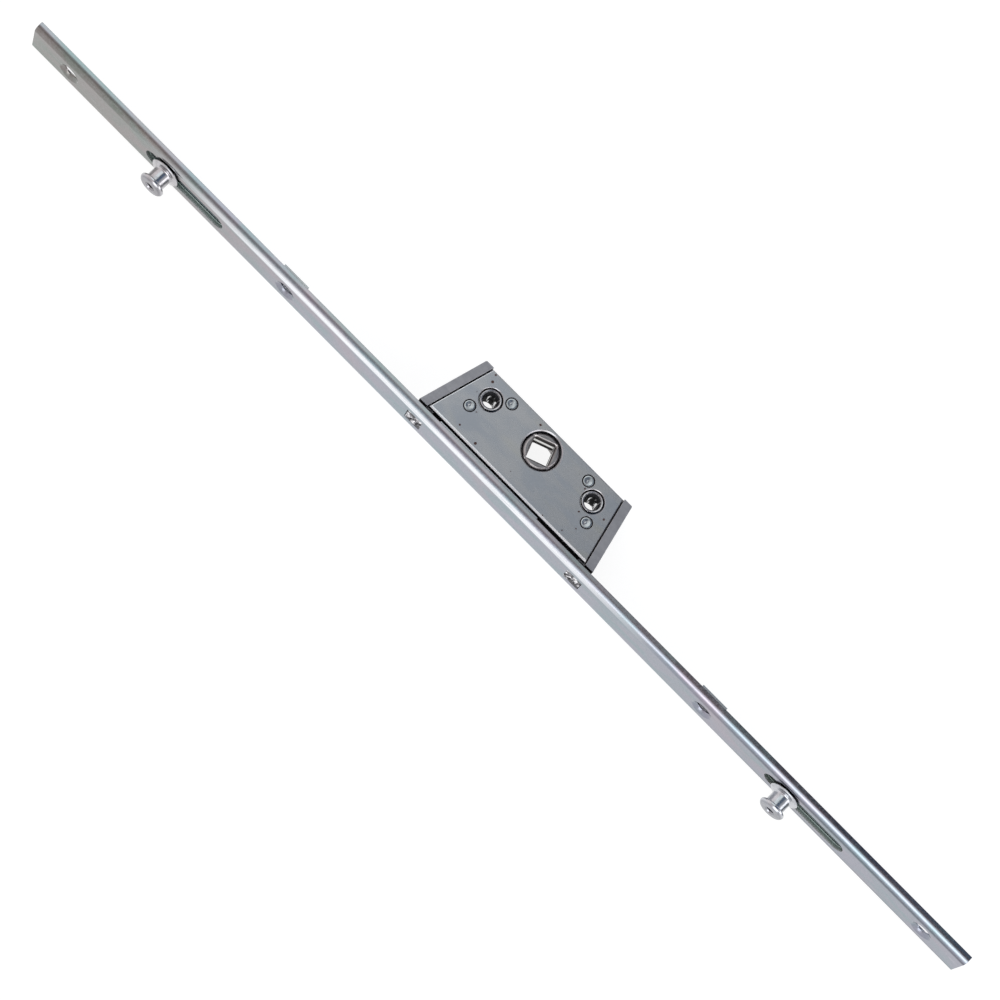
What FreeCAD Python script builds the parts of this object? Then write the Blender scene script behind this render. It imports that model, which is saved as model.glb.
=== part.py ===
"""Window espagnolette gearbox: faceplate, cast gear case, toothed follower, rack, drive rod and cams.

Units are millimetres. The origin is on the spindle axis, halfway across the faceplate's width. X runs
along the faceplate, Y from the faceplate back into the sash, and Z is the spindle axis.
"""
import math
import os

import FreeCAD
import Part

# Handle interface
HANDLE_SCREW_SPACING = 43.0
SQUARE_SIZE = 7.0
SQUARE_CLEARANCE = 0.1
HANDLE_TURN = 90.0
REST_TURN = 21.0

# Fits and gaps
RUNNING_GAP = 0.08
SLIDE_GAP = 0.1
FREE_GAP = 0.3

# Faceplate: a folded steel channel
PLATE_LENGTH = 392.0
PLATE_WIDTH = 16.0
PLATE_SHEET = 1.5
PLATE_DEPTH = 3.0
PLATE_CORNER_RADIUS = 2.5
OUTER_SCREW_MARGIN = 15.3
SCREW_HOLE_DIAMETER = 4.8
COUNTERSINK_DIAMETER = 7.6
COUNTERSINK_DEPTH = 1.0
CAM_SLOT_WIDTH = 6.6

# Toothed follower and rack
TOOTH_MODULE = 2.0
PRESSURE_ANGLE = 20.0
TOOTH_COUNT = 5
FOLLOWER_ADDENDUM = 1.55
RACK_ADDENDUM = 1.6
ROOT_CLEARANCE = 0.35
BACKLASH = 0.3
HUB_WALL = 0.88
HUB_RECESS = 0.35
SQUARE_CHAMFER = 0.5
THRUST_PAD_RADIUS = 9.0
THRUST_PAD_GAP = 0.15

# Drive rod and rack block
ROD_THICKNESS = 1.6
ROD_SIDE_GAP = 1.0
ROD_RAIL_WIDTH = 1.75
ROD_END_MARGIN = 8.7
ROD_CORNER_RADIUS = 1.8
RACK_LENGTH = 40.6
RACK_FLANGE_OVERHANG = 0.3
RACK_FLANGE_THICKNESS = 0.9
RACK_END_WALL = 2.1
RACK_EXTRA_WIDTH = 0.5
RACK_RIVET_DIAMETER = 1.4

# Gear case: a zinc casting closed by a steel cover plate
CASE_END_SLOPE = 0.2415
CASE_FLOOR = 2.2
CASE_BACK_WALL = 1.82
CAVITY_GAP = 0.55
END_RIB_WIDTH = 3.1
END_RIB_PROUD = 0.2
END_RIB_CORNER_RADIUS = 0.5
TENON_LENGTH = 5.8
TENON_ROD_GAP = 0.25
TENON_CLEARANCE = 0.1
TENON_SHOULDER = 0.3
TENON_RECESS = 0.1
STAKE_GROOVES = 3
STAKE_GROOVE_DEPTH = 0.5
STAKE_GROOVE_WIDTH = 1.1
STAKE_GROOVE_ANGLE = 60.0
COVER_THICKNESS = 1.5
COVER_SIDE_GAP = 0.45
COVER_BACK_STEP = 0.5
COVER_FRONT_STEP = 0.6
COVER_HUB_GAP = 0.3
COVER_EDGE_CHAMFER = 0.25

# Screw bushes and case rivets
BUSH_BODY_DIAMETER = 6.0
BUSH_SEAT_GAP = 0.05
BUSH_FLANGE_DIAMETER = 7.4
BUSH_BORE_DIAMETER = 4.5
BUSH_LEAD_DIAMETER = 6.4
BUSH_LEAD_DEPTH = 0.9
BUSH_SWEEP_GAP = 0.45
RIVET_SHANK_DIAMETER = 2.6
RIVET_HEAD_DIAMETER = 4.1
INNER_RIVET_OFFSET = (-5.2, 3.8)
OUTER_RIVET_OFFSET = (3.2, -6.0)

# Mushroom cams
CAM_MARGIN = 64.7
CAM_ECCENTRICITY = 0.7
CAM_SHANK_DIAMETER = 4.8
CAM_COLLAR_DIAMETER = 10.4
CAM_COLLAR_THICKNESS = 0.9
CAM_BODY_DIAMETER = 6.4
CAM_BODY_LENGTH = 4.3
CAM_HEAD_DIAMETER = 8.8
CAM_HEAD_THICKNESS = 1.6
CAM_KEY_SIZE = 2.5
CAM_KEY_DEPTH = 1.8
CAM_TAIL_DIAMETER = 6.6
CAM_TAIL_THICKNESS = 0.8
CAM_PLAY = 0.05
GUIDE_TRAVEL_CLEARANCE = 0.5
WASHER_WIDTH = 8.6
WASHER_THICKNESS = 0.4

# Guides that carry the inner faceplate screws through the drive rod
GUIDE_TO_CAM = 42.9
GUIDE_BLOCK_WIDTH = 6.6
GUIDE_FLANGE_WIDTH = 10.0
GUIDE_FLANGE_THICKNESS = 1.2

# Dependent sizes
TIP_RADIUS = HANDLE_SCREW_SPACING / 2 - BUSH_BODY_DIAMETER / 2 - BUSH_SWEEP_GAP
PITCH_RADIUS = TIP_RADIUS - FOLLOWER_ADDENDUM
ROOT_RADIUS = PITCH_RADIUS - RACK_ADDENDUM - ROOT_CLEARANCE
BASE_RADIUS = PITCH_RADIUS * math.cos(math.radians(PRESSURE_ANGLE))
TOOTH_PITCH = math.pi * TOOTH_MODULE
TOOTH_ANGLE = math.degrees(TOOTH_PITCH / PITCH_RADIUS)
TOOTH_THICKNESS = (TOOTH_PITCH - BACKLASH) / 2
RACK_SPACE = (TOOTH_PITCH + BACKLASH) / 2
TRAVEL = PITCH_RADIUS * math.radians(HANDLE_TURN)
REST_ANGLE = REST_TURN - HANDLE_TURN / 2
REST_SHIFT = PITCH_RADIUS * math.radians(REST_ANGLE)
HALF_TEETH = TOOTH_COUNT // 2

PLATE_INNER_Y = -(TIP_RADIUS + BUSH_SWEEP_GAP)
PLATE_FRONT_Y = PLATE_INNER_Y - PLATE_SHEET
PLATE_BACK_Y = PLATE_FRONT_Y + PLATE_DEPTH
ROD_FRONT_Y = PLATE_INNER_Y + SLIDE_GAP
ROD_BACK_Y = ROD_FRONT_Y + ROD_THICKNESS
RACK_FLANGE_BACK_Y = ROD_BACK_Y + RACK_FLANGE_THICKNESS
RACK_TIP_Y = -PITCH_RADIUS + RACK_ADDENDUM
RACK_ROOT_Y = ROD_FRONT_Y + SLIDE_GAP
ROD_WIDTH = PLATE_WIDTH - 2 * PLATE_SHEET - 2 * ROD_SIDE_GAP
ROD_WINDOW_WIDTH = ROD_WIDTH - 2 * ROD_RAIL_WIDTH
RACK_FLANGE_WIDTH = ROD_WIDTH + 2 * RACK_FLANGE_OVERHANG
RACK_TOOTH_WIDTH = ROD_WINDOW_WIDTH - 2 * SLIDE_GAP
SECTOR_WIDTH = RACK_TOOTH_WIDTH - RACK_EXTRA_WIDTH
TENON_WIDTH = ROD_WINDOW_WIDTH - 2 * (TENON_SHOULDER + TENON_ROD_GAP)
RACK_BLOCK_LENGTH = 2 * (
    HALF_TEETH * TOOTH_PITCH
    + RACK_SPACE / 2
    + RACK_ADDENDUM * math.tan(math.radians(PRESSURE_ANGLE))
    + RACK_END_WALL
)

CASE_TOP_Z = SECTOR_WIDTH / 2 + FREE_GAP + CASE_FLOOR
CASE_THICKNESS = 2 * CASE_TOP_Z
COVER_TOP_Z = CASE_TOP_Z - END_RIB_PROUD
COVER_BOTTOM_Z = COVER_TOP_Z - COVER_THICKNESS
CAVITY_FLOOR_Z = -CASE_TOP_Z + CASE_FLOOR
CASE_FRONT_Y = RACK_FLANGE_BACK_Y + FREE_GAP
CASE_MOUTH_Y = RACK_TIP_Y + FREE_GAP
HUB_RADIUS = (SQUARE_SIZE + SQUARE_CLEARANCE) / math.sqrt(2) + HUB_WALL
CASE_BACK_Y = HUB_RADIUS + RUNNING_GAP + CASE_BACK_WALL
COVER_FRONT_Y = CASE_FRONT_Y + COVER_FRONT_STEP
COVER_BACK_Y = CASE_BACK_Y - COVER_BACK_STEP

BUSH_X = HANDLE_SCREW_SPACING / 2
TENON_INNER_X = RACK_BLOCK_LENGTH / 2 + TRAVEL / 2 + 3 * FREE_GAP
TENON_OUTER_X = TENON_INNER_X + TENON_LENGTH
CASE_FRONT_HALF = TENON_OUTER_X
CASE_BACK_HALF = CASE_FRONT_HALF - CASE_END_SLOPE * (CASE_BACK_Y - CASE_FRONT_Y)
CAVITY_RADIUS = TIP_RADIUS + CAVITY_GAP

OUTER_SCREW_SPACING = PLATE_LENGTH - 2 * OUTER_SCREW_MARGIN
CAM_SPACING = PLATE_LENGTH - 2 * CAM_MARGIN
INNER_SCREW_SPACING = CAM_SPACING - 2 * GUIDE_TO_CAM
CAM_COLLAR_BACK_Y = PLATE_FRONT_Y - FREE_GAP
CAM_COLLAR_FRONT_Y = CAM_COLLAR_BACK_Y - CAM_COLLAR_THICKNESS
CAM_BODY_FRONT_Y = CAM_COLLAR_FRONT_Y - CAM_BODY_LENGTH
CAM_HEAD_FRONT_Y = CAM_BODY_FRONT_Y - CAM_HEAD_THICKNESS
CAM_SLOT_LENGTH = TRAVEL + CAM_SLOT_WIDTH
GUIDE_SLOT_LENGTH = TRAVEL + GUIDE_BLOCK_WIDTH + 2 * GUIDE_TRAVEL_CLEARANCE
ROD_LENGTH = CAM_SPACING + 2 * ROD_END_MARGIN
ROD_WINDOW_LENGTH = 2 * TENON_OUTER_X + TRAVEL + 2 * GUIDE_TRAVEL_CLEARANCE

X_AXIS = FreeCAD.Vector(1, 0, 0)
Y_AXIS = FreeCAD.Vector(0, 1, 0)
Z_AXIS = FreeCAD.Vector(0, 0, 1)
ORIGIN = FreeCAD.Vector(0, 0, 0)
SIDES = (("left", -1), ("right", 1))


def box_between(x0, x1, y0, y1, z0, z1):
    """Return a block between two opposite corners."""
    return Part.makeBox(x1 - x0, y1 - y0, z1 - z0, FreeCAD.Vector(x0, y0, z0))


def rod_along_y(radius, y0, y1, x=0.0, z=0.0):
    """Return a cylinder along Y from y0 to y1."""
    return Part.makeCylinder(radius, y1 - y0, FreeCAD.Vector(x, y0, z), Y_AXIS)


def rod_along_z(radius, z0, z1, x=0.0, y=0.0):
    """Return a cylinder along Z from z0 to z1."""
    return Part.makeCylinder(radius, z1 - z0, FreeCAD.Vector(x, y, z0), Z_AXIS)


def flat_prism(points, z0, z1):
    """Return a prism on an outline in the XY plane."""
    corners = [FreeCAD.Vector(x, y, z0) for x, y in points]
    outline = Part.makePolygon(corners + corners[:1])
    return Part.Face(outline).extrude(FreeCAD.Vector(0, 0, z1 - z0))


def slot_along_x(length, width, y0, y1, x):
    """Return a round-ended bar along X, for cutting a slot through a plate that faces Y."""
    radius = width / 2
    reach = length / 2 - radius
    middle = box_between(x - reach, x + reach, y0, y1, -radius, radius)
    ends = [rod_along_y(radius, y0, y1, x + side * reach) for side in (-1, 1)]
    return middle.multiFuse(ends).removeSplitter()


def turned_piece(points, axis):
    """Return the solid swept by an outline of (radius, height) points turned about the Y or Z axis."""
    if axis == Y_AXIS:
        corners = [FreeCAD.Vector(radius, height, 0) for radius, height in points]
    else:
        corners = [FreeCAD.Vector(radius, 0, height) for radius, height in points]
    outline = Part.makePolygon(corners + corners[:1])
    return Part.Face(outline).revolve(ORIGIN, axis, 360)


def edges_along(shape, axis):
    """Return the straight edges of a shape that run along an axis."""
    kept = []
    for edge in shape.Edges:
        if len(edge.Vertexes) != 2:
            continue
        run = edge.Vertexes[1].Point.sub(edge.Vertexes[0].Point)
        if run.cross(axis).Length < 1e-6:
            kept.append(edge)
    return kept


def block_along_x(side, near, far, y0, y1, half_width):
    """Return a block from near to far on one side of the origin, centred on Z = 0."""
    x0, x1 = sorted((side * near, side * far))
    return box_between(x0, x1, y0, y1, -half_width, half_width)


def channel_section(x):
    """Return the faceplate's closed section in the plane at x: a channel with rolled corners."""
    half = PLATE_WIDTH / 2
    outer = PLATE_CORNER_RADIUS
    inner = outer - PLATE_SHEET
    bend_y = PLATE_FRONT_Y + outer
    bend_z = half - outer
    slant = math.sqrt(0.5)

    def at(y, z):
        return FreeCAD.Vector(x, y, z)

    def straight(start, end):
        return Part.LineSegment(at(*start), at(*end)).toShape()

    def bend(radius, side, start, end):
        middle = at(bend_y - radius * slant, side * (bend_z + radius * slant))
        return Part.Arc(at(*start), middle, at(*end)).toShape()

    edges = [
        straight((PLATE_BACK_Y, half), (bend_y, half)),
        bend(outer, 1, (bend_y, half), (PLATE_FRONT_Y, bend_z)),
        straight((PLATE_FRONT_Y, bend_z), (PLATE_FRONT_Y, -bend_z)),
        bend(outer, -1, (PLATE_FRONT_Y, -bend_z), (bend_y, -half)),
        straight((bend_y, -half), (PLATE_BACK_Y, -half)),
        straight((PLATE_BACK_Y, -half), (PLATE_BACK_Y, -bend_z - inner)),
        straight((PLATE_BACK_Y, -bend_z - inner), (bend_y, -bend_z - inner)),
        bend(inner, -1, (bend_y, -bend_z - inner), (PLATE_INNER_Y, -bend_z)),
        straight((PLATE_INNER_Y, -bend_z), (PLATE_INNER_Y, bend_z)),
        bend(inner, 1, (PLATE_INNER_Y, bend_z), (bend_y, bend_z + inner)),
        straight((bend_y, bend_z + inner), (PLATE_BACK_Y, bend_z + inner)),
        straight((PLATE_BACK_Y, bend_z + inner), (PLATE_BACK_Y, half)),
    ]
    return Part.Face(Part.Wire(edges))


def countersunk_hole(x):
    """Return the cutter of one countersunk faceplate screw hole."""
    hole = SCREW_HOLE_DIAMETER / 2
    mouth = COUNTERSINK_DIAMETER / 2
    bore = rod_along_y(hole, PLATE_FRONT_Y - 1, PLATE_INNER_Y + 1, x)
    cone_start = FreeCAD.Vector(x, PLATE_FRONT_Y, 0)
    cone = Part.makeCone(mouth, hole, COUNTERSINK_DEPTH, cone_start, Y_AXIS)
    return bore.fuse(cone)


def make_faceplate():
    """Return the folded channel with its screw holes, cam slots and tenon holes."""
    plate = channel_section(-PLATE_LENGTH / 2).extrude(X_AXIS * PLATE_LENGTH)
    cutters = []
    for spacing in (OUTER_SCREW_SPACING, INNER_SCREW_SPACING):
        cutters += [countersunk_hole(side * spacing / 2) for _, side in SIDES]
    for _, side in SIDES:
        y0 = PLATE_FRONT_Y - 1
        y1 = PLATE_INNER_Y + 0.5
        cutters.append(slot_along_x(CAM_SLOT_LENGTH, CAM_SLOT_WIDTH, y0, y1, side * CAM_SPACING / 2))
        near = TENON_INNER_X - TENON_CLEARANCE
        far = TENON_OUTER_X + TENON_CLEARANCE
        cutters.append(block_along_x(side, near, far, y0, y1, TENON_WIDTH / 2 + TENON_CLEARANCE))
    for cutter in cutters:
        plate = plate.cut(cutter)
    return plate


def involute(angle):
    """Return the involute function of an angle in radians."""
    return math.tan(angle) - angle


def tooth_half_angle(radius):
    """Return the half angle in radians of a follower tooth at a radius."""
    at_pitch = TOOTH_THICKNESS / (2 * PITCH_RADIUS) + involute(math.radians(PRESSURE_ANGLE))
    if radius <= BASE_RADIUS:
        return at_pitch
    return at_pitch - involute(math.acos(BASE_RADIUS / radius))


def polar(radius, angle):
    """Return the point at a radius and an angle in radians, in the XY plane."""
    return FreeCAD.Vector(radius * math.cos(angle), radius * math.sin(angle), 0)


def arc_about_origin(radius, start, end):
    """Return the arc at a radius between two angles in radians."""
    return Part.Arc(polar(radius, start), polar(radius, (start + end) / 2), polar(radius, end)).toShape()


def tooth_edges(centre):
    """Return one tooth's outline, anticlockwise from root to root, about a centre angle in radians."""
    radii = (BASE_RADIUS, (BASE_RADIUS + TIP_RADIUS) / 2, TIP_RADIUS)
    sides = {}
    for sign in (-1, 1):
        points = [polar(radius, centre + sign * tooth_half_angle(radius)) for radius in radii]
        foot = polar(ROOT_RADIUS, centre + sign * tooth_half_angle(ROOT_RADIUS))
        sides[sign] = (foot, points[0], Part.Arc(*points), points[-1])
    tip = Part.Arc(sides[-1][3], polar(TIP_RADIUS, centre), sides[1][3])
    return [
        Part.LineSegment(sides[-1][0], sides[-1][1]).toShape(),
        sides[-1][2].toShape(),
        tip.toShape(),
        sides[1][2].toShape(),
        Part.LineSegment(sides[1][1], sides[1][0]).toShape(),
    ]


def fan_half_angle():
    """Return the half angle in radians of the follower's toothed fan."""
    last_tooth = math.radians(HALF_TEETH * TOOTH_ANGLE)
    return last_tooth + tooth_half_angle(ROOT_RADIUS) + math.radians(1.0)


def toothed_fan():
    """Return the flat toothed fan of the follower, pointing at the rack."""
    middle = math.radians(-90)
    fan = fan_half_angle()
    half_foot = tooth_half_angle(ROOT_RADIUS)
    inner = HUB_RADIUS * 0.8
    edges = []
    root_from = middle - fan
    for index in range(-HALF_TEETH, HALF_TEETH + 1):
        centre = middle + math.radians(index * TOOTH_ANGLE)
        root_to = centre - half_foot
        edges.append(arc_about_origin(ROOT_RADIUS, root_from, root_to))
        edges += tooth_edges(centre)
        root_from = centre + half_foot
    edges.append(arc_about_origin(ROOT_RADIUS, root_from, middle + fan))
    edges.append(Part.LineSegment(polar(ROOT_RADIUS, middle + fan), polar(inner, middle + fan)).toShape())
    edges.append(arc_about_origin(inner, middle + fan, middle - fan))
    edges.append(Part.LineSegment(polar(inner, middle - fan), polar(ROOT_RADIUS, middle - fan)).toShape())
    face = Part.Face(Part.Wire(edges))
    fan_solid = face.extrude(Z_AXIS * SECTOR_WIDTH)
    fan_solid.translate(Z_AXIS * (-SECTOR_WIDTH / 2))
    return fan_solid


def square_hole():
    """Return the cutter of the spindle's square hole, with its chamfered mouths."""
    half = (SQUARE_SIZE + SQUARE_CLEARANCE) / 2
    top = COVER_TOP_Z - HUB_RECESS
    hole = box_between(-half, half, -half, half, -CASE_THICKNESS, CASE_THICKNESS)
    wide = half + SQUARE_CHAMFER
    deep = half - SQUARE_CHAMFER
    for side in (-1, 1):
        mouth = []
        for size, height in ((wide, top), (deep, top - 2 * SQUARE_CHAMFER)):
            corners = [(-size, -size), (size, -size), (size, size), (-size, size)]
            points = [FreeCAD.Vector(x, y, side * height) for x, y in corners]
            mouth.append(Part.makePolygon(points + points[:1]))
        hole = hole.fuse(Part.makeLoft(mouth, True))
    hole.rotate(ORIGIN, Z_AXIS, HANDLE_TURN / 2)
    return hole


def make_follower():
    """Return the spindle follower: a hub with a square hole and a fan of involute teeth."""
    top = COVER_TOP_Z - HUB_RECESS
    hub = rod_along_z(HUB_RADIUS, -top, top)
    pad_bottom = CAVITY_FLOOR_Z + THRUST_PAD_GAP
    pad_height = COVER_BOTTOM_Z - THRUST_PAD_GAP - pad_bottom
    fan = math.degrees(fan_half_angle())
    pad = Part.makeCylinder(THRUST_PAD_RADIUS, pad_height, FreeCAD.Vector(0, 0, pad_bottom), Z_AXIS, 2 * fan)
    pad.rotate(ORIGIN, Z_AXIS, -90 - fan)
    follower = hub.multiFuse([toothed_fan(), pad]).removeSplitter()
    follower = follower.cut(square_hole())
    follower.rotate(ORIGIN, Z_AXIS, REST_ANGLE)
    return follower


def rack_space(index):
    """Return the cutter of one tooth space of the rack, slanted at the pressure angle."""
    slant = math.tan(math.radians(PRESSURE_ANGLE))
    centre = index * TOOTH_PITCH
    left = []
    right = []
    for y in (ROD_FRONT_Y - 0.5, RACK_TIP_Y + 0.5):
        half_space = RACK_SPACE / 2 + (y + PITCH_RADIUS) * slant
        left.append((centre - half_space, y))
        right.append((centre + half_space, y))
    half = RACK_TOOTH_WIDTH / 2
    return flat_prism(left + right[::-1], -half, half)


def rack_rivet_places():
    """Return the (name, x, z) places of the rack's two rivets, counted from the rack's middle."""
    x = RACK_BLOCK_LENGTH / 2 - RACK_END_WALL / 2
    z = (ROD_WINDOW_WIDTH / 2 + ROD_WIDTH / 2) / 2
    return [(end, side * x, -side * z) for end, side in SIDES]


def make_rack():
    """Return the rack: a flange on the rod's back with five tooth spaces and forked ends."""
    half = RACK_TOOTH_WIDTH / 2
    flange_half = RACK_FLANGE_WIDTH / 2
    flange = box_between(-RACK_LENGTH / 2, RACK_LENGTH / 2, ROD_BACK_Y, RACK_FLANGE_BACK_Y,
                         -flange_half, flange_half)
    block = box_between(-RACK_BLOCK_LENGTH / 2, RACK_BLOCK_LENGTH / 2, RACK_ROOT_Y, RACK_TIP_Y, -half, half)
    rack = flange.fuse(block).removeSplitter()
    for index in range(-HALF_TEETH, HALF_TEETH + 1):
        rack = rack.cut(rack_space(index))
    near = RACK_BLOCK_LENGTH / 2 + SLIDE_GAP
    for _, side in SIDES:
        fork = block_along_x(side, near, RACK_LENGTH, ROD_BACK_Y - 1, RACK_TIP_Y + 1, ROD_WINDOW_WIDTH / 2)
        rack = rack.cut(fork)
    for _, x, z in rack_rivet_places():
        rack = rack.cut(rod_along_y(RACK_RIVET_DIAMETER / 2, ROD_FRONT_Y, RACK_FLANGE_BACK_Y, x, z))
    rack.translate(X_AXIS * REST_SHIFT)
    return rack


def make_rack_rivet(x, z):
    """Return one flush rivet that holds the rack on the drive rod."""
    return rod_along_y(RACK_RIVET_DIAMETER / 2, ROD_FRONT_Y, RACK_FLANGE_BACK_Y, x + REST_SHIFT, z)


def make_drive_rod():
    """Return the flat drive rod with its rack window, guide slots, cam holes and rivet holes."""
    half = ROD_WIDTH / 2
    rod = box_between(-ROD_LENGTH / 2, ROD_LENGTH / 2, ROD_FRONT_Y, ROD_BACK_Y, -half, half)
    rod = rod.makeFillet(ROD_CORNER_RADIUS, edges_along(rod, Y_AXIS))
    y0 = ROD_FRONT_Y - 1
    y1 = ROD_BACK_Y + 1
    window = ROD_WINDOW_WIDTH / 2
    cutters = [box_between(-ROD_WINDOW_LENGTH / 2, ROD_WINDOW_LENGTH / 2, y0, y1, -window, window)]
    for _, side in SIDES:
        near = (INNER_SCREW_SPACING - GUIDE_SLOT_LENGTH) / 2
        far = (INNER_SCREW_SPACING + GUIDE_SLOT_LENGTH) / 2
        cutters.append(block_along_x(side, near, far, y0, y1, GUIDE_BLOCK_WIDTH / 2 + FREE_GAP))
        cutters.append(rod_along_y(CAM_SHANK_DIAMETER / 2 + RUNNING_GAP, y0, y1, side * CAM_SPACING / 2))
    for _, x, z in rack_rivet_places():
        cutters.append(rod_along_y(RACK_RIVET_DIAMETER / 2, y0, y1, x, z))
    for cutter in cutters:
        rod = rod.cut(cutter)
    rod.translate(X_AXIS * REST_SHIFT)
    return rod


def case_half_length(y):
    """Return the case's half length along X at a depth y."""
    return CASE_FRONT_HALF - CASE_END_SLOPE * (y - CASE_FRONT_Y)


def case_prism(inset, y0, y1, z0, z1):
    """Return a prism with the case's slanted ends, moved in by an inset along X."""
    front = case_half_length(y0) - inset
    back = case_half_length(y1) - inset
    return flat_prism([(-front, y0), (front, y0), (back, y1), (-back, y1)], z0, z1)


def rivet_places():
    """Return the (name, x, y) places of the four case rivets."""
    places = []
    for end, side in SIDES:
        for level, offset in (("inner", INNER_RIVET_OFFSET), ("outer", OUTER_RIVET_OFFSET)):
            places.append((f"{end}_{level}", side * (BUSH_X + offset[0]), offset[1]))
    return places


def gear_cavity():
    """Return the space inside the case for the hub and the sweep of the toothed fan."""
    sweep = math.degrees(fan_half_angle()) + HANDLE_TURN / 2 + 1.0
    start = FreeCAD.Vector(0, 0, CAVITY_FLOOR_Z)
    height = CASE_THICKNESS
    fan = Part.makeCylinder(CAVITY_RADIUS, height, start, Z_AXIS, 2 * sweep)
    fan.rotate(ORIGIN, Z_AXIS, -90 - sweep)
    hub = rod_along_z(HUB_RADIUS + RUNNING_GAP, -CASE_THICKNESS, CASE_THICKNESS)
    return fan.fuse(hub)


def stake_groove(x, front):
    """Return the cutter of one V-shaped chisel groove across a tenon's end."""
    half = STAKE_GROOVE_WIDTH / 2
    reach = TENON_WIDTH * 0.36
    points = [(x - 2 * half, front - STAKE_GROOVE_DEPTH), (x, front + STAKE_GROOVE_DEPTH),
              (x + 2 * half, front - STAKE_GROOVE_DEPTH)]
    groove = flat_prism(points, -reach, reach)
    groove.rotate(FreeCAD.Vector(x, 0, 0), Y_AXIS, 90 - STAKE_GROOVE_ANGLE)
    return groove


def tenon(side):
    """Return one staked tenon, with the shoulder that bears on the faceplate's inner face."""
    front = PLATE_FRONT_Y + TENON_RECESS
    back = CASE_FRONT_Y + 1
    peg = block_along_x(side, TENON_INNER_X, TENON_OUTER_X, front, back, TENON_WIDTH / 2)
    shoulder_half = TENON_WIDTH / 2 + TENON_SHOULDER
    shoulder = block_along_x(side, TENON_INNER_X, TENON_OUTER_X, PLATE_INNER_Y, back, shoulder_half)
    peg = peg.fuse(shoulder)
    middle = side * (TENON_INNER_X + TENON_OUTER_X) / 2
    step = TENON_LENGTH / STAKE_GROOVES
    for index in range(STAKE_GROOVES):
        peg = peg.cut(stake_groove(middle + (index - (STAKE_GROOVES - 1) / 2) * step, front))
    return peg


def make_housing():
    """Return the cast gear case: a tray with slanted end ribs, a floor and two tenons."""
    body = case_prism(0, CASE_FRONT_Y, CASE_BACK_Y, -CASE_TOP_Z, CASE_TOP_Z)
    corners = [edge for edge in edges_along(body, Z_AXIS) if edge.Vertexes[0].Y > 0]
    body = body.makeFillet(END_RIB_CORNER_RADIUS, corners)
    low = -CASE_THICKNESS
    high = CASE_THICKNESS
    mouth = TENON_INNER_X
    cutters = [
        case_prism(END_RIB_WIDTH, CASE_FRONT_Y - 1, CASE_BACK_Y + 1, COVER_BOTTOM_Z, high),
        gear_cavity(),
        box_between(-mouth, mouth, CASE_FRONT_Y - 1, CASE_MOUTH_Y, low, high),
    ]
    for _, side in SIDES:
        cutters.append(rod_along_z(BUSH_BODY_DIAMETER / 2 + BUSH_SEAT_GAP, low, high, side * BUSH_X))
    for _, x, y in rivet_places():
        cutters.append(rod_along_z(RIVET_SHANK_DIAMETER / 2, low, high, x, y))
    for cutter in cutters:
        body = body.cut(cutter)
    return body.multiFuse([tenon(side) for _, side in SIDES]).removeSplitter()


def make_cover_plate():
    """Return the steel cover plate with its hub hole, bush holes and countersunk rivet holes."""
    inset = END_RIB_WIDTH + COVER_SIDE_GAP
    plate = case_prism(inset, COVER_FRONT_Y, COVER_BACK_Y, COVER_BOTTOM_Z, COVER_TOP_Z)
    top_edges = [edge for edge in plate.Edges if edge.BoundBox.ZMin > COVER_TOP_Z - 0.01]
    plate = plate.makeChamfer(COVER_EDGE_CHAMFER, top_edges)
    z0 = COVER_BOTTOM_Z - 1
    z1 = COVER_TOP_Z + 1
    cutters = [rod_along_z(HUB_RADIUS + COVER_HUB_GAP, z0, z1)]
    for _, side in SIDES:
        cutters.append(rod_along_z(BUSH_FLANGE_DIAMETER / 2 + SLIDE_GAP, z0, z1, side * BUSH_X))
    for _, x, y in rivet_places():
        cutters.append(make_case_rivet(x, y))
    for cutter in cutters:
        plate = plate.cut(cutter)
    return plate


def make_screw_bush(side):
    """Return one flanged bush for a handle screw, with a dished mouth."""
    body = BUSH_BODY_DIAMETER / 2
    flange = BUSH_FLANGE_DIAMETER / 2
    bore = BUSH_BORE_DIAMETER / 2
    lead = BUSH_LEAD_DIAMETER / 2
    outline = [
        (bore, -CASE_TOP_Z),
        (body, -CASE_TOP_Z),
        (body, COVER_BOTTOM_Z),
        (flange, COVER_BOTTOM_Z),
        (flange, COVER_TOP_Z),
        (lead, COVER_TOP_Z),
        (bore, COVER_TOP_Z - BUSH_LEAD_DEPTH),
    ]
    bush = turned_piece(outline, Z_AXIS)
    bush.translate(X_AXIS * (side * BUSH_X))
    return bush


def make_case_rivet(x, y):
    """Return one case rivet, with a countersunk head in the cover and its tail flush with the floor."""
    shank = RIVET_SHANK_DIAMETER / 2
    head = RIVET_HEAD_DIAMETER / 2
    outline = [
        (0, -CASE_TOP_Z),
        (shank, -CASE_TOP_Z),
        (shank, COVER_BOTTOM_Z),
        (head, COVER_TOP_Z),
        (0, COVER_TOP_Z),
    ]
    rivet = turned_piece(outline, Z_AXIS)
    rivet.translate(FreeCAD.Vector(x, y, 0))
    return rivet


def hexagon_socket():
    """Return the cutter of the hexagon key socket in a cam head, on the Y axis."""
    radius = CAM_KEY_SIZE / math.sqrt(3)
    corners = []
    for index in range(6):
        corner = FreeCAD.Vector(radius, CAM_HEAD_FRONT_Y, 0)
        turn = FreeCAD.Rotation(Y_AXIS, 60 * index)
        corners.append(turn.multVec(corner))
    outline = Part.makePolygon(corners + corners[:1])
    return Part.Face(outline).extrude(Y_AXIS * CAM_KEY_DEPTH)


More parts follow.
